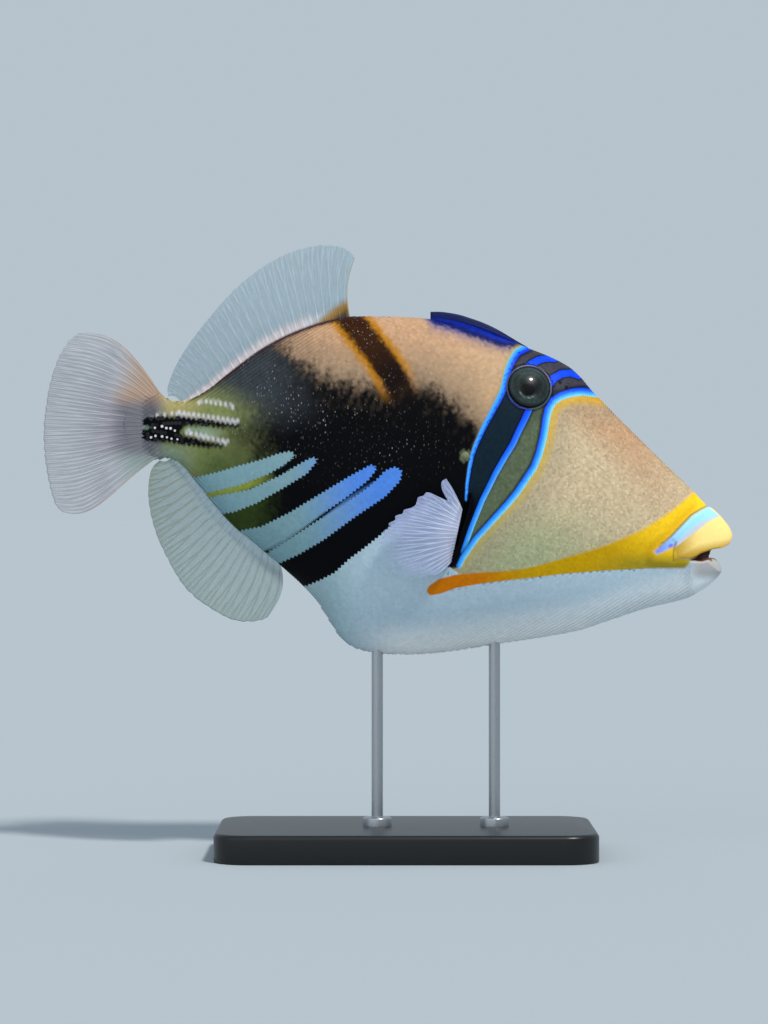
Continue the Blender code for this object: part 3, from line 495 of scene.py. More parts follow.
def headPaint(paint, x, z):
    # cheek and snout ahead of the mask's front line, then the mask
    brow = smooth(26, 4, back(x) - z) * smooth(232, 200, x) + 0.35 * smooth(70, 88, z)
    cheek = lay("cheek", "cheekBrow", brow)
    cheek = lay(cheek, "cheekLow", smooth(64, 38, z + 0.10 * (x - 150)) * smooth(222, 168, x) * 0.9)
    cheek = lay(cheek, "cheekShade", 0.55 * smooth(15, 3, nearLine(marks["frontLine"], x, z)[0]))
    cheekShape = [*marks["frontLine"], (141.0, 29.5), (141.0, -10.0), (250.0, -10.0), (250.0, 90.9)]
    paint = lay(paint, cheek, smooth(-0.3, 0.3, depthIn(cheekShape, x, z)))
    _, side, _ = nearLine([(171.5, 90.0), *marks["middleLine"], (144.4, 30.0)], x, z)
    ahead = smooth(-0.5, 0.5, side) * smooth(92, 87, z)
    mask = lay("maskRear", "black", smooth(60, 50, z))
    mask = lay(mask, "maskFront", ahead * (1 - 0.35 * smooth(75, 86, z)))
    mask = lay(mask, "forehead", smooth(90, 94, z))
    maskShape = [*marks["rearLine"], *marks["gillBar"][1:8], *marks["frontLine"][::-1], *marks["maskRim"]]
    return lay(paint, mask, smooth(-0.2, 0.2, depthIn(maskShape, x, z)))


def backPaint(paint, x, z, grain, specks):
    # the blue patch below the folded fin, with a dark line along it
    high = z - profile(marks["blueBackEdge"])(x) + 0.4 * grain + 0.5 * specks
    within = smooth(132, 138, x) * smooth(170, 166.5, x)
    paint = lay(paint, "blueHaze", 0.75 * smooth(-6.0, 0.8, high + 0.5 * specks) ** 2 * within)
    paint = lay(paint, "blueBack", smooth(-0.5, 1.3, high) * within)
    return lay(paint, "navy", smooth(1.6, 0.4, np.abs(high - 1.2 + 0.04 * (x - 150))) * 0.75 * within)


def basePaint(x, z, grain):
    # the soft colours; grain from -1 to 1 roughens their edges, one value for each scale
    streaks = softNoise(x - 0.35 * z, 0.22 * z, 1.1, 11) * 0.6 + softNoise(x, z, 7.0, 12) * 0.4
    specks = softNoise(x, z, 0.55, 13)
    paint = flankPaint(x, z, grain, streaks, specks)
    paint = saddlePaint(paint, x, z, grain, specks)
    paint = backPaint(headPaint(paint, x, z), x, z, grain, specks)
    # between the pale fingers: black, dark olive that runs out into it, and a thin olive line
    between = smooth(2.2, 1.0, nearLine(marks["fingerLine"], x, z)[0])
    paint = lay(paint, "black", smooth(66, 78, x) * smooth(64, 60, z - 0.35 * (x - 80)) * smooth(141, 136, x))
    paint = lay(paint, "bandOlive", smooth(86, 70, x + 2 * grain) * smooth(56, 52, z - 0.5 * (x - 70)))
    paint = lay(paint, "lineOlive", between * smooth(84, 72, x))
    # the soft root of the tail fin, the upper lip, and the dark seam at the second dorsal fin's foot
    paint = lay(paint, tailTint(z), smooth(45.5, 38.5, x))
    lipShape = (*marks["upperLip"], (220.2, 33.4), (226.4, 33.4), (232.0, 34.4), (246.0, 34.8))
    lip = lay("lip", "lipCorner", np.maximum(smooth(230, 221, x), smooth(39.5, 35.5, z - 0.2 * (x - 230))))
    lip = lay(lip, "bandOlive", 0.25 * smooth(35.5, 33, z) * smooth(229, 223, x))
    paint = lay(paint, lip, smooth(-0.2, 0.3, depthIn(lipShape, x, z)))
    paint = lay(paint, "dorsalRim", smooth(1.3, 0.5, back(x) - z) * smooth(50, 56, x) * smooth(110, 104, x))
    # the round knob above the pectoral fin, and the eye's lid: a pale ring of painted highlight, strongest at
    # its top and right, with a blue arc at its foot
    paint = lay(paint, "bump", smooth(2.1, 1.4, distanceTo(marks["bump"], x, z)))
    far = distanceTo(marks["eye"], x, z)
    paint = lay(paint, "black", 0.6 * smooth(8.8, 8.0, far))
    # how far towards the upper right, where the lid's painted highlight is strongest
    turned = (x - marks["eye"][0]) * 0.5 + (z - marks["eye"][1]) * 0.8
    rim = smooth(8.0, 7.8, far) * smooth(7.45, 7.6, far)
    paint = lay(paint, "lid", rim * (0.35 + 0.65 * smooth(-1, 4, turned)))
    return lay(paint, "lidFoot", rim * smooth(-5.5, -6.8, turned) * 0.8)


def rowPaint(paint, x, z):
    # under the rows of spines on the tail stalk: black and white stripes, pale green between
    between = smooth(-0.4, 0.6, depthIn(marks["rowField"], x, z))
    paint = lay(paint, "rowBetween", 0.8 * between * smooth(66, 56, x))
    for name, tint, start, end, bend in marks["stripes"]:
        far, _, share = nearLine(marks[name], x, z)
        width = start + (end - start) * share**bend
        paint = lay(paint, tint, smooth(width + 0.2, width - 0.2, far))
    paint = lay(paint, "black", smooth(-0.3, 0.2, depthIn(marks["rowJoin"], x, z)))
    return lay(paint, "rowBetween", 0.6 * smooth(-0.2, 0.3, depthIn(marks["rowGap"], x, z)))


def palePaint(x, z):
    # the pale belly and fingers, whose edges end in small teeth: their colour, and for each place how
    # deep it lies in the nearest, how far along its edge, and the share of a tooth's full height there
    pale = lay("belly", "bellyRear", smooth(120, 96, x))
    pale = lay(pale, "chin", smooth(205, 226, x))
    # lighter towards the belly's foot: partly its real pale countershading, partly painted bounce light from
    # below
    low = smooth(14, 2, z - belly(x)) * smooth(104, 128, x)
    pale = lay(pale, "bellyFootPaleAndBounceLit", (0.95 - 0.3 * smooth(170, 215, x)) * low)
    pale = lay(pale, "lowerLip", smooth(224, 230, x) * smooth(25, 29, z))
    shapes = [(marks["bellyEdge"], pale)]
    tips = (smooth(90, 112, x) * 0.12, smooth(86, 97, x) * 0.4, smooth(87, 113, x), smooth(90, 120, x))
    for outline, tip in zip(marks["fingers"], tips):
        shapes.append((outline, lay("finger", "fingerTip", 0.88 * tip)))
    depths, arcs = [], []
    for outline, _ in shapes:
        closed = np.array([*outline, outline[0]], float)
        depths.append(depthIn(outline, x, z))
        arcs.append(nearLine(closed, x, z)[2] * lengthsAlong(closed)[-1])
    deepest, place = np.stack(depths).argmax(0), np.arange(len(x))
    teeth = np.where(deepest == 0, smooth(141, 133, x), 1.0)
    edge = np.stack([np.stack(depths)[deepest, place], np.stack(arcs)[deepest, place], teeth], -1)
    return np.stack([colour for _, colour in shapes])[deepest, place], edge


def overPaint(x, z):
    # flat shapes: their colour, and how deep each place lies in the nearest; the mouth's band is crisp
    # along its foot and soft along its top
    band = lay("bandRear", "bandMiddle", smooth(148, 172, x))
    band = lay(band, "bandFront", smooth(190, 228, x + 0.9 * (z - 40)))
    band = lay(band, "bandFoot", smooth(37.0, 31.0, z) * smooth(186, 212, x))
    pale = lay("lipBand", "lipBandBlue", smooth(226, 217, x))
    pale = lay(pale, "lipBandViolet", smooth(221, 214, x))
    pale = lay(pale, "lipBandEnd", smooth(1.4, 0.5, distanceTo((219.3, 37.6), x, z)))
    under = nearLine(marks["crease"], x, z)[0] - 0.12 * (x - 216)
    pale = lay(pale, "lipBandFoot", 0.6 * smooth(1.7, 2.7, under))
    soft = 0.32 + 0.5 * smooth(192, 168, x)
    isUpper = z > profile(marks["bandMiddle"])(x)
    depths = np.stack([
        depthIn(marks["mouthBand"], x, z) * np.where(isUpper, soft, np.where(x > 210, 0.55, 1)),
        depthIn(marks["lipBand"], x, z), depthIn(marks["gillBar"], x, z)])
    colours = np.stack([band, pale, np.broadcast_to(linear(tints["black"]), pale.shape)])
    deepest = depths.argmax(0)
    return colours[deepest, np.arange(len(x))], depths.max(0)


# Each blue line as a place across it, a cover and a place along it, which the paint's ramps read.
# The place across runs from 0 to 1, from as many half widths behind as lineSpan says to as many ahead.

depthShift = 10  # added to the depth in the crisp shapes, so that it is never negative
lineSpan = 4.0
lineWidths = {  # half width at the top and at the foot
    "rearLine": (1.35, 0.45), "middleLine": (1.1, 0.85), "frontLine": (1.45, 0.95),
    "browUpper": (1.45, 1.1), "browLower": (1.45, 1.2),
}


def lineCoordinates(name, x, z):
    top, foot = lineWidths[name]
    far, side, share = nearLine(marks[name], x, z)
    width = top + (foot - top) * share
    across = np.clip(0.5 + 0.5 * far * side / width / lineSpan, 0, 1)
    cover = smooth(lineSpan * width, (lineSpan - 0.3) * width, far)
    if name.endswith("Line"):  # the mask's lines end bluntly at their foot
        cover *= np.where(share >= 1, smooth(0.9, 0.2, far), 1)
    cover *= smooth(7.8, 8.2, distanceTo(marks["eye"], x, z))
    return np.stack([across, cover, share], -1)


def paintOn(piece, x, z, paint, tone):
    # tone makes each scale a little lighter or darker, its sunk rim darker with painted shade and its crown
    # lighter with a painted highlight; less so on the flat shapes
    overColour, overDepth = overPaint(x, z)
    paleColour, paleEdge = palePaint(x, z)
    for name, colour, share in (
            ("paint", paint, 1), ("palePaint", paleColour, 0.5), ("overPaint", overColour, 0.4)):
        setColour(piece, name, colour * (1 + share * (tone - 1))[:, None])
    setAttribute(piece, "paleEdge", paleEdge)
    setAttribute(piece, "overDepth", overDepth + depthShift)
    for name in lineWidths:
        setAttribute(piece, name, lineCoordinates(name, x, z))


print("markings ready")


# Materials

def addNode(tree, kind, links=None, **settings):
    # adds a node with its settings; links gives each socket, by name or number, a value or what feeds
    # it, which is a socket of another node, or the node itself for its first one
    node = tree.nodes.new(kind)
    for name, value in settings.items():
        setattr(node, name, value)
    for socket, value in (links or {}).items():
        if isinstance(value, bpy.types.Node):
            value = value.outputs[0]
        if isinstance(value, bpy.types.NodeSocket):
            tree.links.new(value, node.inputs[socket])
        else:
            node.inputs[socket].default_value = value
    return node


def setRamp(ramp, stops):
    # stops are (place, hex colour, alpha)
    elements = ramp.color_ramp.elements
    while len(elements) < len(stops):
        elements.new(0.5)
    for element, (place, colour, alpha) in zip(elements, stops):
        element.position = place
        element.color = (*linear(colour), alpha)
    return ramp


def newMaterial(name):
    made = bpy.data.materials.new(name)
    made.use_nodes = True
    tree = made.node_tree
    return made, tree, tree.nodes["Principled BSDF"]


# Ramps across the blue lines, from behind to ahead, near the top and near the foot: the place, colour
# and cover of each stop
lineRamps = {
    "rearLine": (
        (
            (0.22, "#B39A38", 0.0), (0.365, "#A8A850", 0.8), (0.385, "#46AEFF", 1.0), (0.48, "#2A80FF", 1.0),
            (0.55, "#0C3CF0", 1.0), (0.61, "#0A2CD0", 1.0), (0.635, "#040A30", 1.0), (0.74, "#0A1424", 0.0),
        ),
        (
            (0.3, "#101010", 0.0), (0.38, "#2C7CF0", 1.0), (0.45, "#46B4FF", 1.0),
            (0.58, "#2C86FF", 1.0), (0.63, "#06103C", 1.0), (0.8, "#0A1424", 0.0),
        ),
    ),
    "middleLine": (
        (
            (0.26, "#060A18", 0.0), (0.36, "#040820", 0.95), (0.385, "#0A34DC", 1.0), (0.55, "#1458F8", 1.0),
            (0.61, "#1E70F8", 1.0), (0.64, "#0A1024", 0.9), (0.76, "#0A1024", 0.0),
        ),
        (
            (0.26, "#060A18", 0.0), (0.36, "#040820", 0.95), (0.385, "#1E78F0", 1.0), (0.5, "#38ACFC", 1.0),
            (0.6, "#7CD4FF", 1.0), (0.63, "#5A6A58", 0.7), (0.74, "#5A6A58", 0.0),
        ),
    ),
    "frontLine": (
        (
            (0.24, "#04081C", 0.0), (0.35, "#04081C", 0.95), (0.38, "#0B2CE0", 1.0), (0.46, "#1F63F8", 1.0),
            (0.54, "#4CB4FF", 1.0), (0.60, "#7CD0FF", 1.0), (0.625, "#B4B878", 1.0), (0.65, "#DCA628", 1.0),
            (0.78, "#D8A638", 0.85), (1.0, "#D2B068", 0.0),
        ),
        (
            (0.24, "#04081C", 0.0), (0.36, "#10203C", 0.8), (0.385, "#2480F4", 1.0), (0.5, "#44B0FF", 1.0),
            (0.6, "#84D2FF", 1.0), (0.645, "#BCAA50", 0.75), (0.8, "#B4A858", 0.4), (1.0, "#A8A868", 0.0),
        ),
    ),
    "browUpper": (
        (
            (0.30, "#08080E", 0.0), (0.365, "#08080E", 0.95), (0.385, "#0840EC", 1.0), (0.5, "#0A4CF4", 1.0),
            (0.61, "#0842E0", 1.0), (0.635, "#08080E", 0.95), (0.7, "#08080E", 0.0),
        ),
    ) * 2,
}
lineRamps["browLower"] = lineRamps["browUpper"]


def fishPaint(tree):
    # base paint, then the toothed pale shapes, the crisp shapes and the blue lines over them
    given = {}
    for name in ("paint", "palePaint", "overPaint", "paleEdge", "overDepth", *lineRamps):
        given[name] = addNode(tree, "ShaderNodeAttribute", attribute_name=name)
    pale = addNode(tree, "ShaderNodeSeparateXYZ", {0: given["paleEdge"].outputs["Vector"]})
    tooth = addNode(tree, "ShaderNodeMath", {0: pale.outputs[1], 1: 0.75}, operation="PINGPONG")
    lifted = addNode(tree, "ShaderNodeMath", {0: tooth, 1: 0.95, 2: -0.36}, operation="MULTIPLY_ADD")
    depth = addNode(
        tree, "ShaderNodeMath", {0: lifted, 1: pale.outputs[2], 2: pale}, operation="MULTIPLY_ADD")
    cover = addNode(tree, "ShaderNodeMapRange", {0: depth, 1: -0.12, 2: 0.14})
    colour = addNode(tree, "ShaderNodeMix", {
        0: cover, 6: given["paint"], 7: given["palePaint"]}, data_type="RGBA").outputs[2]
    edge = addNode(tree, "ShaderNodeMapRange", {
        0: given["overDepth"].outputs["Fac"], 1: depthShift - 0.18, 2: depthShift + 0.22})
    colour = addNode(
        tree, "ShaderNodeMix", {0: edge, 6: colour, 7: given["overPaint"]}, data_type="RGBA").outputs[2]
    for name, (topStops, footStops) in lineRamps.items():
        place = addNode(tree, "ShaderNodeSeparateXYZ", {0: given[name].outputs["Vector"]})
        near = setRamp(addNode(tree, "ShaderNodeValToRGB", {0: place}), topStops)
        far = setRamp(addNode(tree, "ShaderNodeValToRGB", {0: place}), footStops)
        tone = addNode(tree, "ShaderNodeMix", {0: place.outputs[2], 6: near, 7: far}, data_type="RGBA")
        alpha = addNode(tree, "ShaderNodeMix", {0: place.outputs[2], 2: near.outputs[1], 3: far.outputs[1]})
        cover = addNode(tree, "ShaderNodeMath", {0: alpha, 1: place.outputs[1]}, operation="MULTIPLY")
        colour = addNode(
            tree, "ShaderNodeMix", {0: cover, 6: colour, 7: tone.outputs[2]}, data_type="RGBA").outputs[2]
    return colour


def makeSkinPaint():
    # airbrushed acrylic under satin varnish on a resin cast: saturated colours, a fine grain and a
    # low sheen, with tiny pale dots of painted glint on the dark flank
    material, tree, shader = newMaterial("varnishedAcrylicPaint")
    place = addNode(tree, "ShaderNodeTexCoord").outputs["Object"]
    mottle = addNode(tree, "ShaderNodeTexNoise", {"Vector": place, "Scale": 1 / (0.9 * mm), "Detail": 3.0})
    spread = addNode(tree, "ShaderNodeMapRange", {0: mottle, 1: 0.3, 2: 0.7, 3: 0.96, 4: 1.04})
    varied = addNode(tree, "ShaderNodeVectorMath", {0: fishPaint(tree), 3: spread}, operation="SCALE")
    upright = addNode(tree, "ShaderNodeVectorMath", {0: place, 1: (1.0, 1.0, 0.55)}, operation="MULTIPLY")
    cells = addNode(tree, "ShaderNodeTexVoronoi", {"Vector": upright, "Scale": 1 / (0.85 * mm)})
    # tiny pale dots, painted glints, where the flank is dark
    dot = addNode(tree, "ShaderNodeMapRange", {0: cells.outputs["Distance"], 1: 0.3, 2: 0.08})
    chance = addNode(tree, "ShaderNodeSeparateColor", {0: cells.outputs["Color"]})
    faint = addNode(tree, "ShaderNodeMath", {0: chance, 1: 2.2}, operation="POWER")
    bright = addNode(tree, "ShaderNodeMath", {0: dot, 1: faint}, operation="MULTIPLY")
    paintedGlints = addNode(tree, "ShaderNodeAttribute", attribute_name="paintedGlints").outputs["Fac"]
    paintedGlint = addNode(tree, "ShaderNodeMath", {0: bright, 1: paintedGlints}, operation="MULTIPLY")
    colour = addNode(tree, "ShaderNodeMix", {0: paintedGlint, 6: varied, 7: shade("#B4AEA8")}, data_type="RGBA")
    tree.links.new(colour.outputs[2], shader.inputs["Base Color"])
    fine = addNode(tree, "ShaderNodeTexNoise", {"Vector": place, "Scale": 1 / (0.35 * mm), "Detail": 4.0})
    rough = addNode(tree, "ShaderNodeMapRange", {0: fine, 1: 0.25, 2: 0.75, 3: 0.36, 4: 0.56})
    tree.links.new(rough.outputs[0], shader.inputs["Roughness"])
    bump = addNode(tree, "ShaderNodeBump", {"Strength": 0.35, "Distance": 0.05 * mm, "Height": fine})
    tree.links.new(bump.outputs[0], shader.inputs["Normal"])
    shader.inputs["IOR"].default_value = 1.45
    shader.inputs["Specular IOR Level"].default_value = 0.08
    return material


skinPaint = makeSkinPaint()
print("skin paint ready")


# Skin: one surface from the tail stalk to the lips

skin = {
    "start": 28.05, "fineFrom": 216.0, "tipFrom": 238.4, "end": 240.92,  # where its stations lie
    "coarseStep": 0.9, "fineStep": 0.4, "tipSteps": 12,  # between them
    "side": 104,  # points down one side
    "inset": 0.12,  # below the solids' surface, for the coat
    "lidRadius": 7.9, "lidWidth": 0.5, "lidHeight": 0.5, "socket": 7.4, "socketDepth": 3.2,
    "rimTop": 34.5, "rimHalf": 5.2, "rimBend": 3.0,  # the lower lip's rim, in plan
    "fineRounds": ((marks["eye"], 10.5), ((181.3, 94.4), 3.4), (marks["bump"], 3.0)),  # with more points
    "nostrils": ((180.6, 94.6), (182.8, 93.0)), "nostrilRadius": 0.5, "nostrilDepth": 0.7,
    "gill": ((148.4, 55.0), (147.0, 49.0), (145.2, 43.0), (143.9, 38.0)), "gillDepth": 1.1,
    "gillWidth": 0.55,
    "creaseDepth": 0.34, "creaseWidth": 0.42, "lipBulge": 0.35,
    "mouthRecess": (
        (225.6, 33.0), (228.0, 34.1), (230.0, 35.3), (233.8, 36.6), (236.0, 37.0), (236.0, 33.0),
        (234.2, 33.6), (232.8, 33.0), (230.0, 32.4), (227.0, 32.6),
    ),
    "recessDepth": 2.2,
    "notch": (
        (233.0, 33.2), (234.2, 33.8), (235.6, 33.1), (236.6, 32.0), (237.3, 30.5), (237.7, 28.0),
        (238.2, 24.0), (247.0, 24.0), (247.0, 41.0), (241.6, 41.2), (240.9, 40.4), (240.1, 38.9),
        (239.0, 38.0), (237.3, 37.3), (234.6, 36.8), (233.3, 36.4),
    ),
}


def sideRing(x, count):
    # turns that part one side of the section at x into equal lengths
    fine = np.linspace(0, math.pi, 600)
    reached = lengthsAlong(skinAt(np.full(600, x), fine))
    return np.interp(np.linspace(0, reached[-1], count), reached, fine)


def refine(mesh, wanted, cuts):
    # divides the faces whose middle is wanted, and sets the new points back on the body
    faces = [f for f in mesh.faces if wanted(*toFish(f.calc_center_median())[[0, 2]])]
    edges = list({e for f in faces for e in f.edges})
    bmesh.ops.subdivide_edges(mesh, edges=edges, cuts=cuts, use_grid_fill=True)
    near = {v for f in mesh.faces if wanted(*toFish(f.calc_center_median())[[0, 2]]) for v in f.verts}
    near = [v for v in near if abs(v.co.y) > 0.3 * mm]
    places = toFish([v.co for v in near])
    width = flank(places[:, 0], places[:, 2])
    for vert, was, now in zip(near, places[:, 1], width):
        if abs(abs(was) - now) < 0.6:
            vert.co.y = math.copysign(now, was) * mm


def rimBend(aside, z):
    # how far back the lower lip's rim runs in plan, by how many rimHalf a place lies aside
    return np.where(z < skin["rimTop"], skin["rimBend"] * aside**2.2, 0)


def cutNotch(piece):
    # the open front of the mouth, rounded off towards both corners in plan
    outline = curveThrough([*skin["notch"], skin["notch"][0]])(np.linspace(0, 1, 150)[:-1])
    rings, steps = [], 41
    for y in np.linspace(-8.0, 8.0, steps):
        bend = rimBend(min(abs(y) / skin["rimHalf"], 1.2), outline[:, 1])
        bend = np.minimum(bend, np.maximum(outline[:, 0] - 231.0, 0))
        rings += [(x - b, y, z) for (x, z), b in zip(outline, bend)]
    cutter = makePiece("notch", rings, loftFaces(steps, len(outline)))
    recalculate(cutter)
    change = piece.modifiers.new("notch", "BOOLEAN")
    change.object, change.operation, change.solver = cutter, "DIFFERENCE", "MANIFOLD"
    keepResult(piece)
    bpy.data.objects.remove(cutter)


def soften(piece, weight, rounds):
    # moves points towards the mean of their neighbours, each by its own weight
    places = vertexPlaces(piece)
    edges = np.empty(len(piece.data.edges) * 2, int)
    piece.data.edges.foreach_get("vertices", edges)
    a, b = edges.reshape(-1, 2).T
    count = np.bincount(np.concatenate([a, b]), minlength=len(places))[:, None]
    for _ in range(rounds):
        total = np.zeros_like(places)
        np.add.at(total, a, places[b])
        np.add.at(total, b, places[a])
        places += weight[:, None] * (total / np.maximum(count, 1) - places)
    setPlaces(piece, places)


def eyeAxis(side):
    # an eye's place in the flank, and the way straight out of it
    x, z = marks["eye"]
    along = float(flank(x + 1, z) - flank(x - 1, z)) / 2
    up = float(flank(x, z + 1) - flank(x, z - 1)) / 2
    out = np.array((-along, side, -up))
    return np.array((x, side * float(flank(x, z)), z)), out / np.linalg.norm(out)


def eyeDistance(points):
    # how far points lie off the axis of the nearer eye
    centre, out = eyeAxis(1)
    offset = np.column_stack([points[:, 0], np.abs(points[:, 1]), points[:, 2]]) - centre
    return np.linalg.norm(offset - (offset @ out)[:, None] * out, axis=1)


def skinRelief(points):
    # how far the skin stands out of, or sinks under, the plain body
    x, z = points[:, 0], points[:, 2]
    far, _, share = nearLine(marks["crease"], x, z)
    relief = -skin["creaseDepth"] * hump(far, skin["creaseWidth"]) * smooth(1.0, 0.85, share)
    far, _, _ = nearLine(marks["lipCorner"], x, z)
    relief -= 0.3 * skin["creaseDepth"] * hump(far, skin["creaseWidth"])
    isLip = smooth(0.0, 1.6, depthIn((*marks["upperLip"], (220.2, 32.6), (246.0, 32.6)), x, z))
    relief += skin["lipBulge"] * isLip
    relief += 0.25 * smooth(226, 230, x) * smooth(26, 30, z) * smooth(34, 33, z)
    relief -= skin["recessDepth"] * smooth(-0.25, 0.35, depthIn(skin["mouthRecess"], x, z))
    for place in skin["nostrils"]:
        far = distanceTo(place, x, z)
        relief += 0.22 * hump(far - 1.0, 0.3) - skin["nostrilDepth"] * hump(far, skin["nostrilRadius"], 4)
    far, _, _ = nearLine(skin["gill"], x, z)
    relief += 0.35 * hump(far - 1.3, 0.7) * (x > 144) - skin["gillDepth"] * hump(far, skin["gillWidth"])
    relief += 0.9 * hump(distanceTo(marks["bump"], x, z), 1.25, 4)
    far = eyeDistance(points)
    lid = skin["lidHeight"] * hump(far - skin["lidRadius"], skin["lidWidth"])
    socket = skin["socketDepth"] * smooth(skin["socket"], skin["socket"] - 1.0, far)
    sunk = lid * smooth(6.4, 7.4, far) - socket
    relief += np.where(far < 14, np.where(far < skin["socket"], sunk, lid), 0)
    return relief - skin["inset"] * (1 - np.maximum(isLip, smooth(226, 229, x)))


def makeSkin():
    tip = (skin["end"] - skin["tipFrom"]) * np.sin(np.linspace(0, math.pi / 2, skin["tipSteps"]))
    stations = np.concatenate([
        np.arange(skin["start"], skin["fineFrom"], skin["coarseStep"]),
        np.arange(skin["fineFrom"], skin["tipFrom"], skin["fineStep"]), skin["tipFrom"] + tip,
    ])
    points = []
    for x in stations:
        turns = sideRing(x, skin["side"] + 1)
        half = skinAt(np.full(len(turns), x), turns)
        half[[0, -1], 1] = 0
        points += [half, half[-2:0:-1] * (1, -1, 1)]
    count = 2 * skin["side"]
    piece = makePiece("fishSkin", np.vstack(points), loftFaces(len(stations), count))
    mesh = bmesh.new()
    mesh.from_mesh(piece.data)
    refine(mesh, lambda x, z: any(distanceTo(place, x, z) < far for place, far in skin["fineRounds"])
           or (142 < x < 150.5 and 36 < z < 57), 2)
    refine(mesh, lambda x, z: 223 < x < 238 and 29 < z < 40 or (216 < x < 234 and 39 < z < 53), 1)
    bmesh.ops.triangulate(mesh, faces=[f for f in mesh.faces if len(f.verts) > 4])
    bmesh.ops.recalc_face_normals(mesh, faces=mesh.faces)
    mesh.to_mesh(piece.data)
    mesh.free()
    points = vertexPlaces(piece)
    setPlaces(piece, points + vertexNormals(piece) * skinRelief(points)[:, None])
    cutNotch(piece)
    points = vertexPlaces(piece)
    x, z = points[:, 0], points[:, 2]
    bend = rimBend(np.abs(points[:, 1]) / skin["rimHalf"], z)
    rim = smooth(1.2, 0.5, np.abs(depthIn(skin["notch"], x + bend, z)))
    mouth = smooth(1.1, 0.2, np.abs(depthIn(skin["mouthRecess"], x, z)))
    soften(piece, 0.5 * np.maximum(rim, mouth) * smooth(224.5, 226.5, x), 8)
    return piece


def finishSkin(piece):
    points = vertexPlaces(piece)
    x, z = points[:, 0], points[:, 2]
    paint = rowPaint(basePaint(x, z, softNoise(x, z, 1.4, 21)), x, z)
    inMouth = np.maximum(
        smooth(0.05, 0.5, depthIn(skin["mouthRecess"], x, z)),
        smooth(0.3, 0.9, flank(x, z) - np.abs(points[:, 1])) * smooth(227, 229, x) * smooth(38.5, 37.2, z)
        * smooth(30, 31.5, z))
    inMouth *= smooth(234.2, 233.4, x)
    # inside the mouth: a red-brown flesh tint under painted shade, darkest towards the back and top of the
    # recess
    shadedFlesh = lay("mouth", "mouthRed", smooth(229, 233.5, x) * smooth(35.6, 33.6, z))
    paint = lay(paint, shadedFlesh, inMouth)
    # the nostril pits darkened with painted shade
    for place in skin["nostrils"]:
        paint = lay(paint, "black", 0.45 * smooth(0.6, 0.35, distanceTo(place, x, z)))
    paintOn(piece, x, z, paint, np.ones(len(x)))
    # fine dark lines of painted shade in the crease over the lip and at the mouth's corner
    colour, overDepth = overPaint(x, z)
    groove, _, share = nearLine(marks["crease"], x, z)
    dark = 0.8 * smooth(0.5, 0.2, groove) * smooth(1.0, 0.85, share)
    dark = np.maximum(dark, 0.6 * smooth(0.45, 0.15, nearLine(marks["lipCorner"], x, z)[0]))
    setColour(piece, "overPaint", lay(colour, "creaseLine", dark))
    setAttribute(piece, "overDepth", np.where(inMouth > 0.4, 0, overDepth + depthShift))
    paleEdge = palePaint(x, z)[1]
    paleEdge[inMouth > 0.4] = (-9, 0, 0)
    setAttribute(piece, "paleEdge", paleEdge)
    setAttribute(piece, "paintedGlints", paintedGlintsAt(x, z, paint))
    piece.data.materials.clear()
    piece.data.materials.append(skinPaint)
    piece.data.shade_smooth()
    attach(piece, "root")
    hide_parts("head", "trunk", "tail_stalk", "upper_lip", "lower_lip")


def paintedGlintsAt(x, z, paint):
    # pale dots of painted glint, only where the flank is dark, here more and there fewer
    drifts = 0.2 + 0.7 * smooth(-0.4, 0.5, softNoise(x - 0.4 * z, z, 6.0, 23))
    within = smooth(60, 70, x) * smooth(150, 138, x) * (1 - 0.6 * smooth(112, 134, x)) * smooth(56, 72, z)
    return drifts * smooth(0.16, 0.03, paint.mean(1)) * within


fishSkin = makeSkin()
finishSkin(fishSkin)
print("skin", len(fishSkin.data.vertices), "points")


# Coat: lozenge plates on the flank and fine granules on the face, each a small solid set on a point.
# A lattice runs along the body and round it, so the plates lie in the slanting rows of the real fish.

plates = {
    "along": 0.86, "around": 1.52,  # from row to row, and from plate to plate round the body
    "thickness": 0.09, "root": 0.07, "shrink": 1.05, "variation": 0.02, "seed": 3,
    "sizes": ((20, 1.0), (250, 1.0)), "uneven": 0.06,  # size along the body, and spread of its tone
}
granules = {
    "along": 0.71, "around": 0.82, "thickness": 0.07, "root": 0.05, "shrink": 1.02, "variation": 0.12,
    "seed": 5, "sizes": ((100, 1.0), (205, 1.0), (228, 0.8), (250, 0.8)), "uneven": 0.09,
}
bakeMap = {"margin": 0.01, "patch": 0.0014, "start": 28, "along": 213, "around": 144}
rowLine = profile(((20, 78), (241, 45)))  # the rows run along it
coatEdge = [  # plates behind this line and below the mouth's band, granules ahead of it
    (172.0, 124.0), (169.8, 107.4), *marks["rearLine"][1:], (147.0, 49.7), (145.9, 45.1), (144.3, 39.9),
    (142.4, 34.6), (140.9, 31.0), (142.0, 20.0), (142.0, -8.0),
]
bellyCoat = [  # its upper edge runs along the foot of the mouth's band
    (142.0, -8.0), (142.0, 22.6), (152.9, 24.8), (159.9, 25.7), (170.4, 26.8), (180.9, 28.1), (194.9, 29.2),
    (212.4, 30.0), (240.0, 30.2), (240.0, -8.0),
]


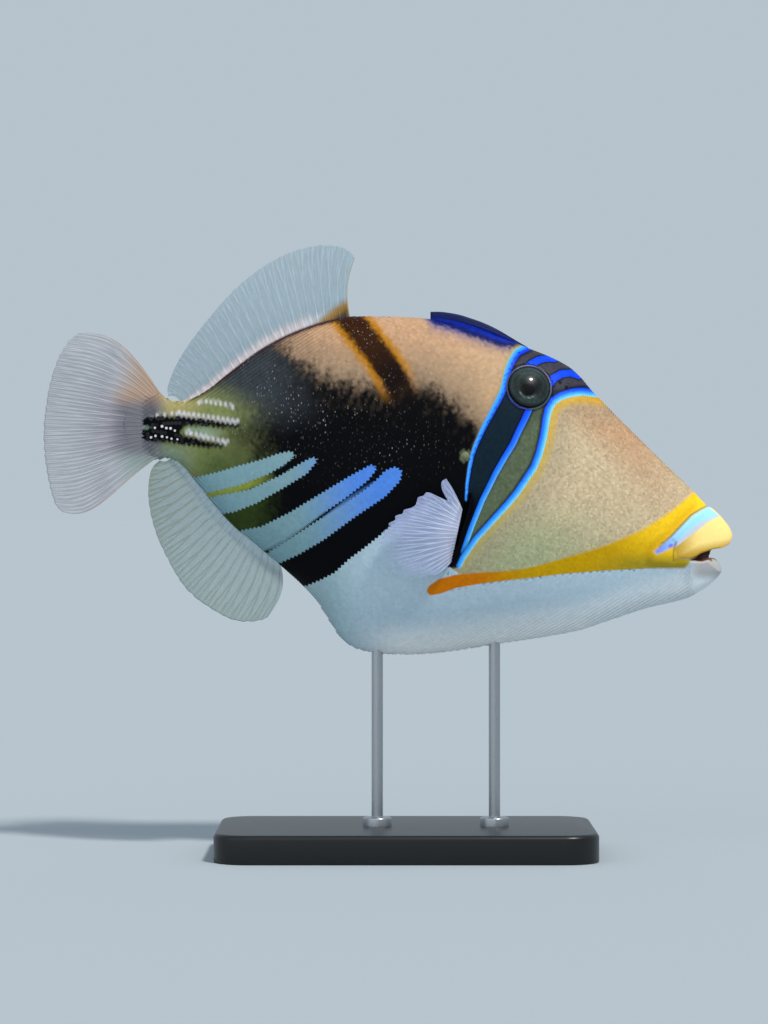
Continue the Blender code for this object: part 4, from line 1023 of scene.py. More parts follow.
def scatterTree(name):
    # points with a way out, a way along and a size each get a piece; the result is a plain mesh
    tree = bpy.data.node_groups.new(name, "GeometryNodeTree")
    ask = tree.interface.new_socket
    ask("Geometry", in_out="INPUT", socket_type="NodeSocketGeometry")
    ask("Piece", in_out="INPUT", socket_type="NodeSocketObject")
    ask("Finish", in_out="INPUT", socket_type="NodeSocketMaterial")
    ask("Variation", in_out="INPUT", socket_type="NodeSocketFloat")
    ask("Seed", in_out="INPUT", socket_type="NodeSocketInt")
    ask("Geometry", in_out="OUTPUT", socket_type="NodeSocketGeometry")
    given = addNode(tree, "NodeGroupInput").outputs

    named = {}
    for label, kind in (("out", "FLOAT_VECTOR"), ("along", "FLOAT_VECTOR"), ("size", "FLOAT")):
        named[label] = addNode(tree, "GeometryNodeInputNamedAttribute", {"Name": label}, data_type=kind)
    upright = addNode(tree, "FunctionNodeAlignRotationToVector", {"Vector": named["out"]}, axis="Z")
    turned = addNode(tree, "FunctionNodeAlignRotationToVector", {
        "Rotation": upright, "Vector": named["along"]}, axis="X", pivot_axis="Z")
    less = addNode(tree, "ShaderNodeMath", {0: 1.0, 1: given["Variation"]}, operation="SUBTRACT")
    more = addNode(tree, "ShaderNodeMath", {0: 1.0, 1: given["Variation"]}, operation="ADD")
    chance = addNode(tree, "FunctionNodeRandomValue", {
        2: less, 3: more, "Seed": given["Seed"]}, data_type="FLOAT")
    size = addNode(tree, "ShaderNodeMath", {0: chance.outputs[1], 1: named["size"]}, operation="MULTIPLY")
    template = addNode(tree, "GeometryNodeObjectInfo", {"Object": given["Piece"], "As Instance": True})
    placed = addNode(tree, "GeometryNodeInstanceOnPoints", {
        "Points": given["Geometry"], "Instance": template.outputs["Geometry"],
        "Rotation": turned, "Scale": size})
    solid = addNode(tree, "GeometryNodeRealizeInstances", {"Geometry": placed})
    finished = addNode(tree, "GeometryNodeSetMaterial", {"Geometry": solid, "Material": given["Finish"]})
    addNode(tree, "NodeGroupOutput", {0: finished})
    return tree


def scatter(name, tree, template, cloud, size, finish, sizes):
    # runs the tree on a cloud of points, with the ways out and along, on either side of the fish, and
    # keeps the two plain meshes
    made = []
    for side, mirror in (("Left", 1), ("Right", -1)):
        points, out, along = (part * (1, mirror, 1) for part in cloud)
        piece = makePiece(name + side, points, [], None, False)
        for label, values in (("out", out), ("along", along), ("size", size)):
            setAttribute(piece, label, values)
        change = piece.modifiers.new("scatter", "NODES")
        change.node_group = tree
        sockets = {s.name: s.identifier for s in tree.interface.items_tree if s.in_out == "INPUT"}
        for label, value in (("Piece", template), ("Finish", finish),
                             ("Variation", sizes["variation"]), ("Seed", sizes["seed"])):
            change[sockets[label]] = value
        keepResult(piece)
        for label in ("out", "along", "size"):
            old = piece.data.attributes.get(label)
            if old:
                piece.data.attributes.remove(old)
        made.append(piece)
    return made


def makeTemplate(name, points, faces):
    # a small piece at the origin, in metres, which only the scatter tree uses; the rim of its hidden
    # underside is sharp, so that the underside doesn't darken the shading of the top
    mesh = bpy.data.meshes.new(name)
    mesh.from_pydata([tuple(np.array(p) * mm) for p in points], [], faces)
    made = bpy.data.objects.new(name, mesh)
    bpy.context.scene.collection.objects.link(made)
    recalculate(made)
    lowest = min(vert.co.z for vert in mesh.vertices) + 1e-6
    for edge in mesh.edges:
        edge.use_edge_sharp = all(mesh.vertices[k].co.z < lowest for k in edge.vertices)
    mesh.shade_smooth()
    return made


def plateTemplate():
    # a lozenge with a sunk rim, a flat shoulder and a low crown; its corners lie fore, aft, up and down
    a, b = plates["along"] * plates["shrink"], plates["around"] / 2 * plates["shrink"]
    rim = [(a, 0), (0, b), (-a, 0), (0, -b)]
    points = [(x, y, -plates["root"]) for x, y in rim]
    for k in range(4):
        (x, y), (nextX, nextY) = rim[k], rim[(k + 1) % 4]
        points.append((0.84 * x, 0.84 * y, 0.66 * plates["thickness"]))
        points.append((0.45 * (x + nextX), 0.45 * (y + nextY), 0.72 * plates["thickness"]))
    points.append((0.18 * a, 0, plates["thickness"]))
    faces = [(3, 2, 1, 0)]
    for k in range(4):
        corner, middle, after = 4 + 2 * k, 5 + 2 * k, 4 + (2 * k + 2) % 8
        faces += [(k, middle, corner), (k, (k + 1) % 4, middle), ((k + 1) % 4, after, middle)]
        faces += [(corner, middle, 12), (middle, after, 12)]
    return makeTemplate("plateTemplate", points, faces), points


def granuleTemplate():
    radius = granules["around"] / math.sqrt(3) * granules["shrink"]
    points = [(radius * math.cos(k * math.pi / 3), radius * math.sin(k * math.pi / 3), -granules["root"])
              for k in range(6)]
    points.append((0, 0, granules["thickness"]))
    faces = [(5, 4, 3, 2, 1, 0)] + [(k, (k + 1) % 6, 6) for k in range(6)]
    return makeTemplate("granuleTemplate", points, faces), points


def sectionArcs(x):
    # turns round one side of the section at x, and how far each lies from the line that the rows keep to
    fine = np.linspace(0, math.pi, 900)
    reached = lengthsAlong(skinAt(np.full(900, x), fine))
    return fine, reached - np.interp(float(turnAt(x, rowLine(x))), fine, reached)


def lattice(sizes, start, end, sizeAt):
    # points in rows round one side of the body: x, turn, arc, and a way along, which lies between the
    # way to the next row but one and the way square to this row
    xs, turns, arcs, ways, row, x = [], [], [], [], 0, start
    while x < end:
        size = float(sizeAt(x))
        fine, reached = sectionArcs(x)
        step = sizes["around"] * size
        first = math.ceil(reached[0] / step)
        places = (np.arange(first, reached[-1] / step) + 0.5 * (row % 2)) * step
        places = places[(places > reached[0] + 0.1) & (places < reached[-1] - 0.1)]
        ends = []
        for near in (x - 0.05, x + 0.05):
            nearTurns, nearArcs = sectionArcs(near)
            ends.append(skinAt(np.full(len(places), near), np.interp(places, nearArcs, nearTurns)))
        turn = np.interp(places, reached, fine)
        way = (ends[1] - ends[0]) / np.linalg.norm(ends[1] - ends[0], axis=1)[:, None]
        around = skinAt(np.full(len(turn), x), turn + 0.01) - skinAt(np.full(len(turn), x), turn - 0.01)
        around /= np.linalg.norm(around, axis=1)[:, None]
        square = way - (way * around).sum(1)[:, None] * around
        xs.append(np.full(len(places), x))
        turns.append(turn)
        arcs.append(places)
        ways.append(way + square / np.linalg.norm(square, axis=1)[:, None])
        x += sizes["along"] * size
        row += 1
    return np.concatenate(xs), np.concatenate(turns), np.concatenate(arcs), np.vstack(ways)


def isFree(points):
    # where the coat may grow: not on lips, nostrils, eyes, gill opening or the round knob
    x, z = points[:, 0], points[:, 2]
    free = eyeDistance(points) > skin["lidRadius"] + 1.1
    for place in skin["nostrils"]:
        free &= distanceTo(place, x, z) > 1.3
    free &= distanceTo(marks["bump"], x, z) > 2.0
    free &= nearLine(skin["gill"], x, z)[0] > 1.2
    crease, _, _ = nearLine(marks["crease"], x, z)
    corner, _, _ = nearLine(marks["lipCorner"], x, z)
    return free & (crease > 0.75) & (corner > 0.75)


def setBakeMap(piece, x, arc, template):
    # a map of the skin's own shape, along the body and round it, with a small patch for each scale
    flat = np.array(template)[:, :2]
    patch = flat / np.abs(flat).max() * bakeMap["patch"]
    span = 1 - 2 * bakeMap["margin"]
    u = bakeMap["margin"] + span * (x - bakeMap["start"]) / bakeMap["along"]
    v = bakeMap["margin"] + span * (arc / bakeMap["around"] + 0.5)
    corners = (np.column_stack([u, v])[:, None, :] + patch[None]).reshape(-1, 2)
    layer = piece.data.uv_layers.new(name="OFBake")
    index = np.empty(len(piece.data.loops), int)
    piece.data.loops.foreach_get("vertex_index", index)
    layer.data.foreach_set("uv", corners[index].ravel())


def makeCoat():
    tree = scatterTree("scatterOnPoints")
    behind = [*coatEdge, (20.0, -8.0), (20.0, 124.0)]
    lipShape = (*marks["crease"], (213.0, 33.0), (226.0, 32.0), (228.5, 18.0), (250.0, 18.0), (250.0, 53.0))
    chance = np.random.default_rng(8)
    plate, granule = plateTemplate(), granuleTemplate()
    for kind, sizes, (template, shape), span in (
        ("flankPlates", plates, plate, (35.0, 171.0)),
        ("bellyPlates", plates, plate, (35.0, 228.5)),
        ("faceGranules", granules, granule, (140.0, 228.5)),
    ):
        sizeAt = profile(sizes["sizes"])
        x, turn, arc, along = lattice(sizes, *span, sizeAt)
        points = skinAt(x, turn)
        isBehind = depthIn(behind, x, points[:, 2]) > -0.35
        isBelow = depthIn(bellyCoat, x, points[:, 2]) > 0
        keep = isFree(points) & (depthIn(lipShape, x, points[:, 2]) < 0) & {
            "flankPlates": isBehind, "bellyPlates": isBelow & ~isBehind,
            "faceGranules": ~isBehind & ~isBelow}[kind]
        x, turn, arc, along, points = x[keep], turn[keep], arc[keep], along[keep], points[keep]
        out, _ = skinFrame(x, turn)
        points = points + out * skinRelief(points)[:, None]
        size = sizeAt(x) * (smooth(34.5, 41.0, x) * 0.5 + 0.5)
        size *= 1 - 0.45 * smooth(4.0, 0.5, -depthIn(lipShape, x, points[:, 2])) * (x > 210)
        grain = chance.normal(0, 0.5, len(x)).clip(-1, 1)
        bright = 1 + sizes["uneven"] * chance.normal(0, 1, len(x)).clip(-2, 2)
        count = len(shape)
        height = np.array(shape)[:, 2]
        # painted shade on each scale's sunk rim, and a faint painted highlight on its crown
        groove = np.where(height < 0, 0.93, np.where(height == height.max(), 1.02, 1.0))
        tone = np.repeat(bright, count) * np.tile(groove, len(x))
        for piece in scatter(kind, tree, template, (points, out, along), size, skinPaint, sizes):
            placeX, _, placeZ = vertexPlaces(piece).T
            paint = basePaint(placeX, placeZ, np.repeat(grain, count))
            if kind == "flankPlates":
                paint = rowPaint(paint, placeX, placeZ)
                setAttribute(piece, "paintedGlints", paintedGlintsAt(placeX, placeZ, paint))
            paintOn(piece, placeX, placeZ, paint, tone)
            setBakeMap(piece, x, arc, shape)
            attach(piece, "root")
            print(piece.name, len(x), "scales", len(piece.data.polygons), "faces")
    bpy.data.objects.remove(plate[0])
    bpy.data.objects.remove(granule[0])
    return tree


scatterOnPoints = makeCoat()


# Spines on the tail stalk: blunt black ones that lean forward, and low white ones beside them

spines = {"spacing": 1.35, "whiteSpacing": 1.05, "lift": 0.3, "variation": 0.14, "seed": 9}


def makeEnamel(name, colour, roughness):
    # stove enamel: one flat colour, and smooth, so that each small spine catches a highlight
    material, _, shader = newMaterial(name)
    shader.inputs["Base Color"].default_value = shade(colour)
    shader.inputs["Roughness"].default_value = roughness
    shader.inputs["Specular IOR Level"].default_value = 0.3
    return material


def spineTemplate(name, radius, height, lean):
    # a blunt dome whose top leans towards the head
    rings = ((1.0, -0.9), (0.98, 0.15), (0.62, 0.75))
    points = []
    for share, up in rings:
        for a in np.arange(8) * math.pi / 4:
            points.append((radius * share * math.cos(a) + lean * max(up, 0) ** 1.5,
                           radius * share * math.sin(a), height * up))
    points.append((lean, 0, height))
    cap = [(16 + k, 16 + (k + 1) % 8, 24) for k in range(8)]
    return makeTemplate(name, points, loftFaces(3, 8, False) + [tuple(range(8))[::-1]] + cap)


def alongRow(name, spacing, offset=0.0, start=0.0, end=1.0):
    # places spaced along a row and set off to one side of it
    size = lengthsAlong(marks[name])[-1] * (end - start)
    steps = np.arange(0.5 + (offset > 0) * 0.5, size / spacing)
    share = start + (end - start) * (steps * spacing / size)
    places = curveThrough(marks[name])(share)
    return [(x, z + offset * (1 - 0.55 * s), 1 - 0.25 * s) for (x, z), s in zip(places, share)]


def makeSpines():
    black = [
        *alongRow("rowUpper", spines["spacing"], 1.1), *alongRow("rowUpper", spines["spacing"], -1.1),
        *alongRow("rowLower", spines["spacing"], 1.5, 0, 0.65), *alongRow("rowLower", spines["spacing"], 0.0),
        *alongRow("rowLower", spines["spacing"], -1.5, 0, 0.8),
    ]
    dots = marks["whiteDots"]
    black = [p for p in black if min(math.hypot(p[0] + 0.2 - x, p[1] - z) for x, z in dots) > 1.0]
    black = [p for p in black if p[0] > 38.2 or abs(p[1] - 79.3) > 1.2]
    white = [
        *alongRow("rowEdge", spines["whiteSpacing"]), *alongRow("whiteUpper", spines["whiteSpacing"], 0.3),
        *alongRow("whiteUpper", spines["whiteSpacing"], -0.3),
        *alongRow("whiteLower", spines["whiteSpacing"], 0.3),
        *alongRow("whiteLower", spines["whiteSpacing"], -0.3),
        *alongRow("rowHigh", spines["whiteSpacing"]), *((x, z, 1.28) for x, z in dots),
    ]
    kinds = (
        ("blackSpines", black, spineTemplate("blackSpine", 0.74, 0.62, 0.42),
         makeEnamel("blackEnamel", "#010103", 0.25)),
        ("whiteSpines", white, spineTemplate("whiteSpine", 0.36, 0.5, 0.2),
         makeEnamel("ivoryEnamel", "#CFCBD0", 0.4)),
    )
    for name, places, template, enamel in kinds:
        x, z, size = np.array(places).T
        out, along = skinFrame(x, turnAt(x, z))
        points = skinAt(x, turnAt(x, z)) + spines["lift"] * out
        for piece in scatter(name, scatterOnPoints, template, (points, out, along), size, enamel, spines):
            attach(piece, "root")
        bpy.data.objects.remove(template)


makeSpines()
print("stalk spines ready")


# Eyes: a squashed glass ball in each socket

eyes = {
    "size": (7.5, 7.5, 3.6), "sinks": 0.5, "pupil": (2.6, 2.2), "pupilPlace": (-0.5, -0.9),
    # the pale arc below the pupil is a painted reflection
    "arc": 2.9,  # radius of the pale arc below the pupil
}


def makeEyeMaterial():
    # cast glass over a painted iris: dark olive with faint rings, a black pupil, a pale arc below it painted
    # as a reflection, and a hard clear gloss
    material, tree, shader = newMaterial("paintedGlassEye")
    iris = addNode(tree, "ShaderNodeAttribute", attribute_name="iris").outputs["Vector"]
    place = addNode(tree, "ShaderNodeSeparateXYZ", {0: iris})
    rings = setRamp(addNode(tree, "ShaderNodeValToRGB", {0: place}), (
        (0.135, "#000001", 1), (0.155, "#26262A", 1), (0.175, "#141A1A", 1), (0.36, "#1A2324", 1),
        (0.50, "#273132", 1), (0.62, "#34423F", 1), (0.74, "#2B3836", 1), (0.88, "#32403E", 1),
        (0.95, "#222C2C", 1), (1.0, "#12181A", 1)))
    coordinates = addNode(tree, "ShaderNodeTexCoord").outputs["Object"]
    threads = addNode(tree, "ShaderNodeTexNoise", {
        "Vector": coordinates, "Scale": 1 / (0.8 * mm), "Detail": 5.0})
    spread = addNode(tree, "ShaderNodeMapRange", {0: threads, 1: 0.3, 2: 0.7, 3: 0.7, 4: 1.35})
    level = addNode(tree, "ShaderNodeMath", {0: spread, 1: place.outputs[1]}, operation="MULTIPLY")
    tone = addNode(tree, "ShaderNodeVectorMath", {0: rings, 3: level}, operation="SCALE")
    # the pale arc below the pupil: a painted reflection
    colour = addNode(
        tree, "ShaderNodeMix", {0: place.outputs[2], 6: tone, 7: shade("#8F9A98")}, data_type="RGBA")
    tree.links.new(colour.outputs[2], shader.inputs["Base Color"])
    shader.inputs["Roughness"].default_value = 0.3
    shader.inputs["Specular IOR Level"].default_value = 0.1
    shader.inputs["Coat Weight"].default_value = 0.22
    shader.inputs["Coat Roughness"].default_value = 0.04
    return material


def makeEye(name, side, material):
    x, z = marks["eye"]
    place, out = eyeAxis(side)
    turn = np.array(Vector((0, 0, 1)).rotation_difference(Vector(out)).to_matrix())
    rings, count = 40, 72
    local = []
    for i in range(1, rings):
        a = math.pi * i / rings
        for k in range(count):
            b = 2 * math.pi * k / count
            local.append((math.sin(a) * math.cos(b), math.sin(a) * math.sin(b), math.cos(a)))
    local = np.array([*local, (0, 0, 1), (0, 0, -1)])
    points = local * eyes["size"] @ turn.T + place - eyes["sinks"] * out
    faces = loftFaces(rings - 1, count, False)
    top, low = len(local) - 2, len(local) - 1
    last = (rings - 2) * count
    for k in range(count):
        faces += [(k, (k + 1) % count, top), (last + (k + 1) % count, last + k, low)]
    piece = makePiece(name, points, faces, material)
    recalculate(piece)
    points = vertexPlaces(piece)
    dx = (points[:, 0] - x - eyes["pupilPlace"][0]) / eyes["pupil"][0]
    dz = (points[:, 2] - z - eyes["pupilPlace"][1]) / eyes["pupil"][1]
    oval = np.hypot(dx, dz) * 0.15
    rim = eyeDistance(points) / 7.3
    dx, dz = dx * eyes["pupil"][0], dz * eyes["pupil"][1]
    # the pale arc below the pupil, a painted reflection
    arc = hump(np.hypot(dx, dz) - eyes["arc"], 0.17) * smooth(-0.9, -2.2, dz + 0.3 * dx)
    aside = np.abs(points[:, 0] - x) / np.maximum(distanceTo((x, z), points[:, 0], points[:, 2]), 0.1)
    level = 1 - 0.55 * smooth(0.45, 0.95, aside) * smooth(1.0, 0.8, rim)  # the iris is darker fore and aft
    setAttribute(piece, "iris", np.column_stack([
        np.where(oval < 0.16, oval, np.maximum(rim, 0.16)), level, 0.75 * arc]))
    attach(piece, "root")
    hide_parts(name.replace("eye", "eye_").lower())


eyeGlass = makeEyeMaterial()
makeEye("eyeLeft", 1, eyeGlass)
makeEye("eyeRight", -1, eyeGlass)


# Fins: thin sheets with fine branching rays

def makeFilmMaterial():
    # tinted cast resin film: thin and clouded, clear between its rays, milky along them
    material, tree, shader = newMaterial("cloudedResinFilm")
    colour = addNode(tree, "ShaderNodeAttribute", attribute_name="paint")
    opacity = addNode(tree, "ShaderNodeAttribute", attribute_name="opacity").outputs["Fac"]
    place = addNode(tree, "ShaderNodeAttribute", attribute_name="finPlace").outputs["Vector"]
    streaks = addNode(tree, "ShaderNodeTexNoise", {"Vector": place, "Scale": 1.0, "Detail": 3.0})
    spread = addNode(tree, "ShaderNodeMapRange", {0: streaks, 1: 0.3, 2: 0.7, 3: 0.86, 4: 1.12})
    tone = addNode(tree, "ShaderNodeVectorMath", {0: colour, 3: spread}, operation="SCALE")
    tree.links.new(tone.outputs[0], shader.inputs["Base Color"])
    alpha = addNode(tree, "ShaderNodeMath", {0: opacity, 1: spread}, operation="MULTIPLY", use_clamp=True)
    tree.links.new(alpha.outputs[0], shader.inputs["Alpha"])
    shader.inputs["Roughness"].default_value = 0.38
    shader.inputs["IOR"].default_value = 1.46
    return material


filmMaterial = makeFilmMaterial()

fins = {
    "membrane": 0.12, "rayFoot": 0.115, "rayTip": 0.045,  # half thickness, added over a ray
    "muscle": 0.75, "muscleReach": 0.14, "wave": 2.6, "tailWave": 1.6, "waves": 0.85,
    "dorsal": {
        "rays": 24, "foot": (107.6, 49.0), "columns": 22, "rows": 54,
        "forks": (0.42, 0.74),  # where its rays divide, as shares of their length
        "margin": (
            (109.2, 139.0), (107.4, 141.2), (104.4, 142.7), (98.4, 143.4), (90.5, 142.1), (82.6, 139.0),
            (74.7, 134.1), (66.8, 127.4), (58.8, 118.3), (50.9, 108.0), (46.4, 100.4), (43.8, 93.6),
            (43.9, 90.2),
        ),
    },
    "anal": {
        "rays": 22, "foot": (83.0, 45.4), "columns": 22, "rows": 54, "forks": (0.42, 0.74),
        "margin": (
            (78.8, 13.0), (75.8, 11.8), (70.4, 11.4), (65.1, 12.6), (58.8, 16.0), (52.9, 20.2),
            (48.0, 25.6), (43.9, 32.6), (39.9, 40.8), (37.8, 47.7), (36.7, 54.6), (37.0, 61.0),
            (38.2, 65.2), (40.8, 67.8),
        ),
    },
    "tail": {
        "rays": 24, "columns": 22, "rows": 60, "forks": (0.22, 0.52),
        "margin": (
            (12.3, 112.4), (9.2, 109.9), (6.3, 105.5), (4.3, 101.2), (2.7, 96.1), (1.4, 90.3),
            (0.4, 83.3), (0.0, 76.3), (0.4, 69.5), (1.4, 62.7), (2.7, 56.7), (4.3, 52.2), (6.5, 49.7),
        ),
    },
    "pectoral": {
        "rays": 18, "columns": 16, "rows": 44, "foot": ((146.4, 50.6), (142.6, 32.4)),
        "spread": math.radians(21.0), "curve": 0.008, "stand": 1.0, "forks": (0.16, 0.46),
        "margin": (
            (140.4, 61.6), (138.2, 59.4), (134.2, 57.2), (129.0, 53.2), (123.4, 48.4), (119.0, 43.0),
            (117.0, 37.0), (118.4, 31.4), (122.8, 27.8), (129.2, 26.4), (136.2, 27.4),
        ),
    },
}


def rayHeight(u, v, rays, forks):
    # how far a place stands on a ray: 1 on its crest, 0 on the membrane; rays fork twice on their way out
    across = u * rays % 1 - 0.5
    first = smooth(forks[0], forks[0] + 0.5, v) * 0.23
    second = smooth(forks[1], 1.1, v) * 0.13
    width = 0.11 - 0.045 * v
    height = np.zeros(np.broadcast(across, v).shape)
    for a in (-1, 1):
        for b in (-1, 1):
            height = np.maximum(height, hump(across - a * first - b * second, width))
    return height


def rayFin(name, sizes, foot, middle, bow, half, colours, reach):
    # a closed sheet over a grid of u along the foot and v along the rays
    columns, rows = sizes["rays"] * sizes["columns"] + 1, sizes["rows"]
    u, v = np.meshgrid(np.linspace(0, 1, columns), np.linspace(0, 1, rows + 1), indexing="ij")
    ray = rayHeight(u, v, sizes["rays"], sizes["forks"]) * (u > 0) * (u < 1)
    a, b = foot(u), curveThrough(sizes["margin"])(u.ravel()).reshape(*u.shape, 2)
    place = a + (b - a) * (v * reach(u, v))[..., None] + np.stack(bow(u, v), -1)
    x, z = place[..., 0], place[..., 1]
    y = middle(u, v, x, z)
    thick = half(u, v) + ray * (fins["rayFoot"] + (fins["rayTip"] - fins["rayFoot"]) * v)
    thick = np.where(v >= 1, np.minimum(thick, 0.12), thick)
    points = np.vstack([np.stack([x, y + side * thick, z], -1).reshape(-1, 3) for side in (1, -1)])
    grid = np.arange(columns * (rows + 1)).reshape(columns, rows + 1)
    quads = np.stack([grid[:-1, :-1], grid[:-1, 1:], grid[1:, 1:], grid[1:, :-1]], -1).reshape(-1, 4)
    rim = np.concatenate([grid[:, 0], grid[-1, 1:], grid[-2::-1, -1], grid[0, -2:0:-1]])
    after, sheet = np.roll(rim, -1), grid.size
    walls = np.stack([rim, after, after + sheet, rim + sheet], -1)
    faces = [*map(tuple, quads.tolist()), *map(tuple, (quads[:, ::-1] + sheet).tolist()),
             *map(tuple, walls.tolist())]
    piece = makePiece(name, points, faces, filmMaterial)
    mesh = bmesh.new()
    mesh.from_mesh(piece.data)
    bmesh.ops.recalc_face_normals(mesh, faces=mesh.faces)
    mesh.to_mesh(piece.data)
    mesh.free()
    u, v = u.ravel(), v.ravel()
    colour, opacity = colours(u, v, ray.ravel(), x.ravel(), z.ravel())
    setColour(piece, "paint", np.tile(colour, (2, 1)))
    setAttribute(piece, "opacity", np.tile(opacity.clip(0, 1), 2))
    threads = np.column_stack([u * sizes["rays"] * 6, v * 5, 0 * u])  # streaks six to a ray
    setAttribute(piece, "finPlace", np.tile(threads, (2, 1)))
    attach(piece, "root")
    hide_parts(name.replace("Fin", "_fin").replace("Left", "_left").replace("Right", "_right"))


def muscled(u, v):
    return fins["membrane"] + fins["muscle"] * np.maximum(0, 1 - v / fins["muscleReach"])


def fringed(depth, rays, seed):
    # the margin drawn in a little between rays, unevenly
    def reach(u, v):
        between = np.cos(2 * math.pi * rays * u) * 0.5 + 0.5
        return 1 - v**6 * depth * (between + 0.5 * softNoise(u * rays * 3, 0 * u, 1.0, seed))
    return reach


def makeDorsalFin():
    start, end = fins["dorsal"]["foot"]

    def foot(u):
        x = start + (end - start) * u
        return np.stack([x, back(x) - 0.9], -1)

    def middle(u, v, x, z):
        return fins["wave"] * v**1.4 * np.sin(2 * math.pi * (fins["waves"] * u + 0.08))

    def bow(u, v):
        return -1.8 * np.sin(math.pi * v) * (1 - u) ** 4, 1.2 * np.sin(math.pi * v) * u

    def colours(u, v, ray, x, z):
        colour = lay("#98ACB8", "#C4CDD2", 0.36 * ray)
        colour = lay(colour, "#9A8468", 0.5 * ray * smooth(0.62, 0.9, u) * smooth(0.7, 0.2, v))
        colour = lay(colour, "#D4C0BE", smooth(0.24, 0.06, v) * smooth(0.1, 0.3, u) * (0.6 + 0.4 * ray))
        wedge = 1 - u / 0.26 - v / 0.34
        colour = lay(colour, "#8E6816", smooth(-0.1, 0.35, wedge))
        colour = lay(colour, "#2E1A08", smooth(0.3, 0.66, wedge))
        colour = lay(colour, "#B8A24A", 0.6 * smooth(0.015, 0.0, u) * smooth(1, 0.5, v))
        colour = lay(colour, "dorsalRim", smooth(0.05, 0.03, v) * smooth(0.0, 0.05, u))
        return colour, 0.56 + 0.16 * ray + 0.5 * smooth(0.34, 0.0, v) + 0.5 * smooth(-0.2, 0.4, wedge)

    rayFin("dorsalFin", fins["dorsal"], foot, middle, bow, muscled, colours,
           fringed(0.006, 24, 31))


def makeAnalFin():
    start, end = fins["anal"]["foot"]

    def foot(u):
        x = start + (end - start) * u
        return np.stack([x, belly(x) + 0.9], -1)

    def middle(u, v, x, z):
        return -fins["wave"] * v**1.4 * np.sin(2 * math.pi * (fins["waves"] * u + 0.12))

    def bow(u, v):
        return 2.8 * np.sin(math.pi * v) * (1 - u) ** 3, -1.0 * np.sin(math.pi * v) * u

    def colours(u, v, ray, x, z):
        colour = lay("#92A4A6", "#76806E", 0.5 * ray)
        colour = lay(colour, "#ABBCC2", smooth(0.26, 0.08, v))
        colour = lay(colour, "#98925A", 0.5 * ray * smooth(0.5, 1, u))
        return colour, 0.62 + 0.16 * ray + 0.5 * smooth(0.30, 0.0, v)

    rayFin("analFin", fins["anal"], foot, middle, bow, muscled, colours,
           fringed(0.006, 22, 32))


def makeTailFin():
    top, low = 90.6, 69.6

    def foot(u):
        return np.stack([41.5 + 0 * u, top + (low - top) * u], -1)

    def middle(u, v, x, z):
        return fins["tailWave"] * v**2 * np.sin(math.pi * (u - 0.15))

    def bow(u, v):
        up = 7.2 * np.maximum(0, 1 - 2 * u) ** 1.6 * np.sin(math.pi * v)
        down = 5.1 * np.maximum(0, 2 * u - 1) ** 1.6 * np.sin(math.pi * v**1.8)
        return 0 * u, up - down

    def half(u, v):
        return fins["membrane"] + 1.0 * np.maximum(0, 1 - v / 0.34) ** 1.5

    def colours(u, v, ray, x, z):
        colour = lay("#A5A7AF", "#CDCED4", 0.45 * ray)
        colour = lay(colour, "#C2C5CA", 0.6 * smooth(0.25, 0.0, u) * smooth(0.3, 0.7, v))
        uneven = v + 0.08 * softNoise(u * 60, 0 * u, 1.0, 34)
        fade = smooth(0.78, 0.3, uneven) * (1 - 0.3 * ray * smooth(0.34, 0.5, v))
        fade *= 1 - 0.7 * smooth(0.12, 0.45, v) * smooth(8, 17, np.abs(z - 80))
        colour = lay(colour, lay(tailTint(z), "#938E96", smooth(0.3, 0.55, v)), fade)
        edge = smooth(0.02, 0.0, np.minimum(u, 1 - u))
        colour = lay(colour, "#C0A28A", 0.5 * edge * smooth(0.9, 0.5, v))
        return colour, 0.74 + 0.14 * ray + 0.4 * smooth(0.6, 0.34, v)

    rayFin("tailFin", fins["tail"], foot, middle, bow, half, colours,
           fringed(0.006, 24, 33))


def makePectoralFin(name, side):
    sizes = fins["pectoral"]
    first, last = np.array(sizes["foot"])

    def foot(u):
        return first + (last - first) * u[..., None]

    def middle(u, v, x, z):
        a = foot(u)
        away = np.hypot(x - a[..., 0], z - a[..., 1])
        root = np.maximum(flank(a[..., 0], a[..., 1]), flank(x, z))
        stand = sizes["stand"] * smooth(0, 0.14, v) - 0.5 * smooth(0.1, 0, v)
        return side * (root + stand + away * math.tan(sizes["spread"]) - sizes["curve"] * away**2)

    def bow(u, v):
        return 0 * u, 0.8 * np.sin(math.pi * v) * (1 - 2 * u)

    def half(u, v):
        return 0.11 + 0.45 * np.maximum(0, 1 - 6 * v)

    def colours(u, v, ray, x, z):
        # milky over the dark flank, and clearer towards its edge over the belly
        colour = lay("#A6B2D8", "#C4CAE4", smooth(0.5, 0.0, v))
        colour = lay(colour, "#E4E8F6", 0.6 * ray * smooth(1.1, 0.3, v))
        upper = smooth(0.62, 0.34, u)
        opacity = 0.32 + 0.34 * upper + 0.26 * smooth(0.5, 0, v) - 0.3 * smooth(0.5, 1, v) * (1 - upper)
        return colour, opacity + 0.22 * ray * smooth(1.0, 0.3, v)

    def reach(u, v):
        between = np.cos(2 * math.pi * sizes["rays"] * u) * 0.5 + 0.5
        uneven = softNoise(u * sizes["rays"], 0 * u, 1.0, 35)
        notch = 0.5 * hump(u - 0.092, 0.028) + 0.08 * hump(u - 0.25, 0.02)
        return 1 - v**3 * (0.04 * between + 0.04 * np.maximum(0, uneven)) - v * notch

    rayFin(name, sizes, foot, middle, bow, half, colours, reach)


makeDorsalFin()
makeAnalFin()
makeTailFin()
makePectoralFin("pectoralFinLeft", 1)
makePectoralFin("pectoralFinRight", -1)
print("fins ready")


# First dorsal fin, folded flat: a low crest with three spines laid along it

